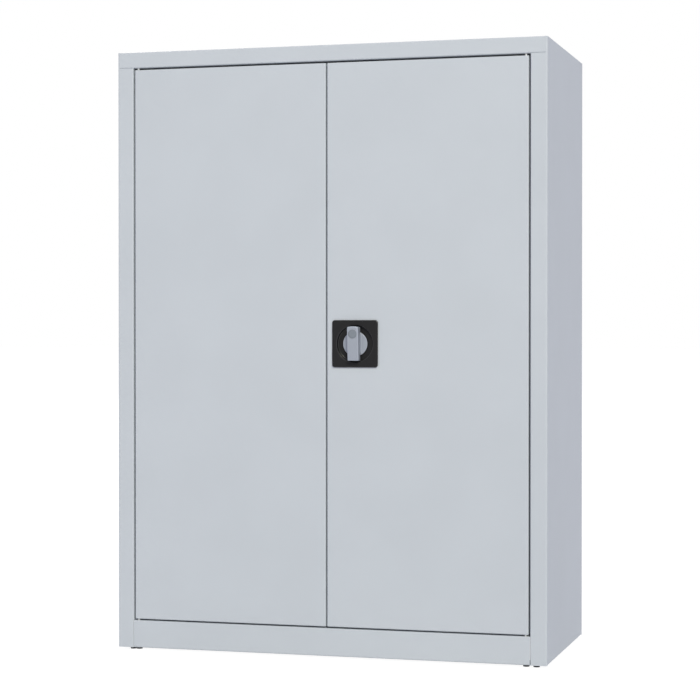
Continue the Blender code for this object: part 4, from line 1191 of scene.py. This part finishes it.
def under_cut():
    """A flat ring outside the disc's rim, which leaves the bar's ends free of the plate."""
    inner, outer = DISC_RADIUS - CUT_OVERLAP, BAR_REACH + FILLET + FLANGE
    low, high = DISC_FACE + FLANGE, -BAR_LIFT
    loop = np.array([(inner, high), (outer, high), (outer, low), (inner, low)])
    angle = np.linspace(0, 2 * np.pi, TURN_POINTS + 1)
    ring = empty_mesh("under_cut")
    span(ring.data, about_lock(loop[:, :1], loop[:, 1:], angle), closed=True)
    return ring


def knob():
    """A profile (reach, depth) turned about the axis, with the bar and the spindle joined on."""
    crown = np.linspace(0, DISC_RADIUS - FLANGE, CROWN_RINGS)[:, None]
    rise = DISC_CROWN * (1 - (crown / DISC_RADIUS) ** 2)
    corners = [
        (DISC_RADIUS - RIM_START, DISC_FACE),
        (DISC_RADIUS, DISC_FACE),
        (DISC_RADIUS, DISC_FACE + FLANGE),
        (BODY_RADIUS, DISC_FACE + FLANGE),
        (BODY_RADIUS, DISH_FRONT - SEAT),
        (SHANK_RADIUS, DISH_FRONT - SEAT),
        (SHANK_RADIUS, SHANK_END),
        (0.0, SHANK_END),
    ]
    rim = rounded(corners, KNOB_ROUNDS)
    profile = np.vstack([np.hstack([crown, DISC_FACE - rise]), rim])
    bends = np.append(np.zeros(len(crown)), bend_marks(KNOB_ROUNDS, len(corners)))
    angle = np.linspace(0, 2 * np.pi, TURN_POINTS + 1)
    piece = new_piece("knob_casting", "knob", "knob_grey", ["knob"])
    points = about_lock(profile[:, :1], profile[:, 1:], angle)
    span(piece.data, points, bends=bends[:, None])
    spindle = bar_tool(
        "spindle",
        (LOCK_X, FRONT_Y + SHANK_END - SHEET, LOCK_Z),
        (LOCK_X, FRONT_Y + SPINDLE_END, LOCK_Z),
        square_ring(SPINDLE_SIZE, SPINDLE_SIZE),
    )
    combine(piece, [grip_bar(), spindle], "UNION")
    face, axis = cylinder_place()
    front, back = face + axis * DRILL_REACH, face - axis * (CYLINDER_LENGTH + SEAT)
    combine(piece, [bar_tool("bore", front, back, round_ring(CYLINDER_RADIUS + SEAT))])
    smooth(piece)


def cylinder_place():
    """The middle of the plug's face and the direction that it looks in."""
    proud = BAR_PROUD_FOOT + BAR_SLOPE * (CYLINDER_OFFSET + BAR_REACH)
    axis = np.array([0.0, -1.0, -BAR_SLOPE])
    return np.array([LOCK_X, FRONT_Y - proud, LOCK_Z + CYLINDER_OFFSET]), unit(axis)


knob()

# %% [markdown]
# The plug is a turned pin, and its flat face lies just below the full face of the grip. In the
# picture the plug is plain, so a spring shutter closes the keyway here, a hair under the face,
# and only a faint outline is left. Plug and bore share their place, so they stay in line.

# %% Key cylinder
SHUTTER_DEPTH = 0.00025
KEYWAY = (0.0013, 0.0068)
PLUG_ROUNDS = (0.0005, 0.0002)


def key_cylinder():
    """A profile (reach, height along the axis) turned about the plug's own axis."""
    corners = [
        (0.0, 0.0),
        (CYLINDER_RADIUS, 0.0),
        (CYLINDER_RADIUS, -CYLINDER_LENGTH),
        (0.0, -CYLINDER_LENGTH),
    ]
    profile = rounded(corners, PLUG_ROUNDS)
    face, axis = cylinder_place()
    first = np.array([1.0, 0.0, 0.0])
    second = np.cross(first, axis)
    angle = np.linspace(0, 2 * np.pi, ROUND_POINTS * 2 + 1)[:, None]
    around = np.cos(angle) * first + np.sin(angle) * second
    points = face + profile[:, :1, None] * around + profile[:, 1:, None] * axis
    piece = new_piece("key_cylinder_plug", "key_cylinder", "cylinder_grey", ["key_cylinder"])
    span(piece.data, points, bends=bend_marks(PLUG_ROUNDS, len(corners))[:, None])
    ring = square_ring(*KEYWAY)
    shutter = bar_tool("shutter", face + axis * SHEET, face - axis * SHUTTER_DEPTH, ring)
    combine(piece, [shutter])
    smooth(piece)


key_cylinder()
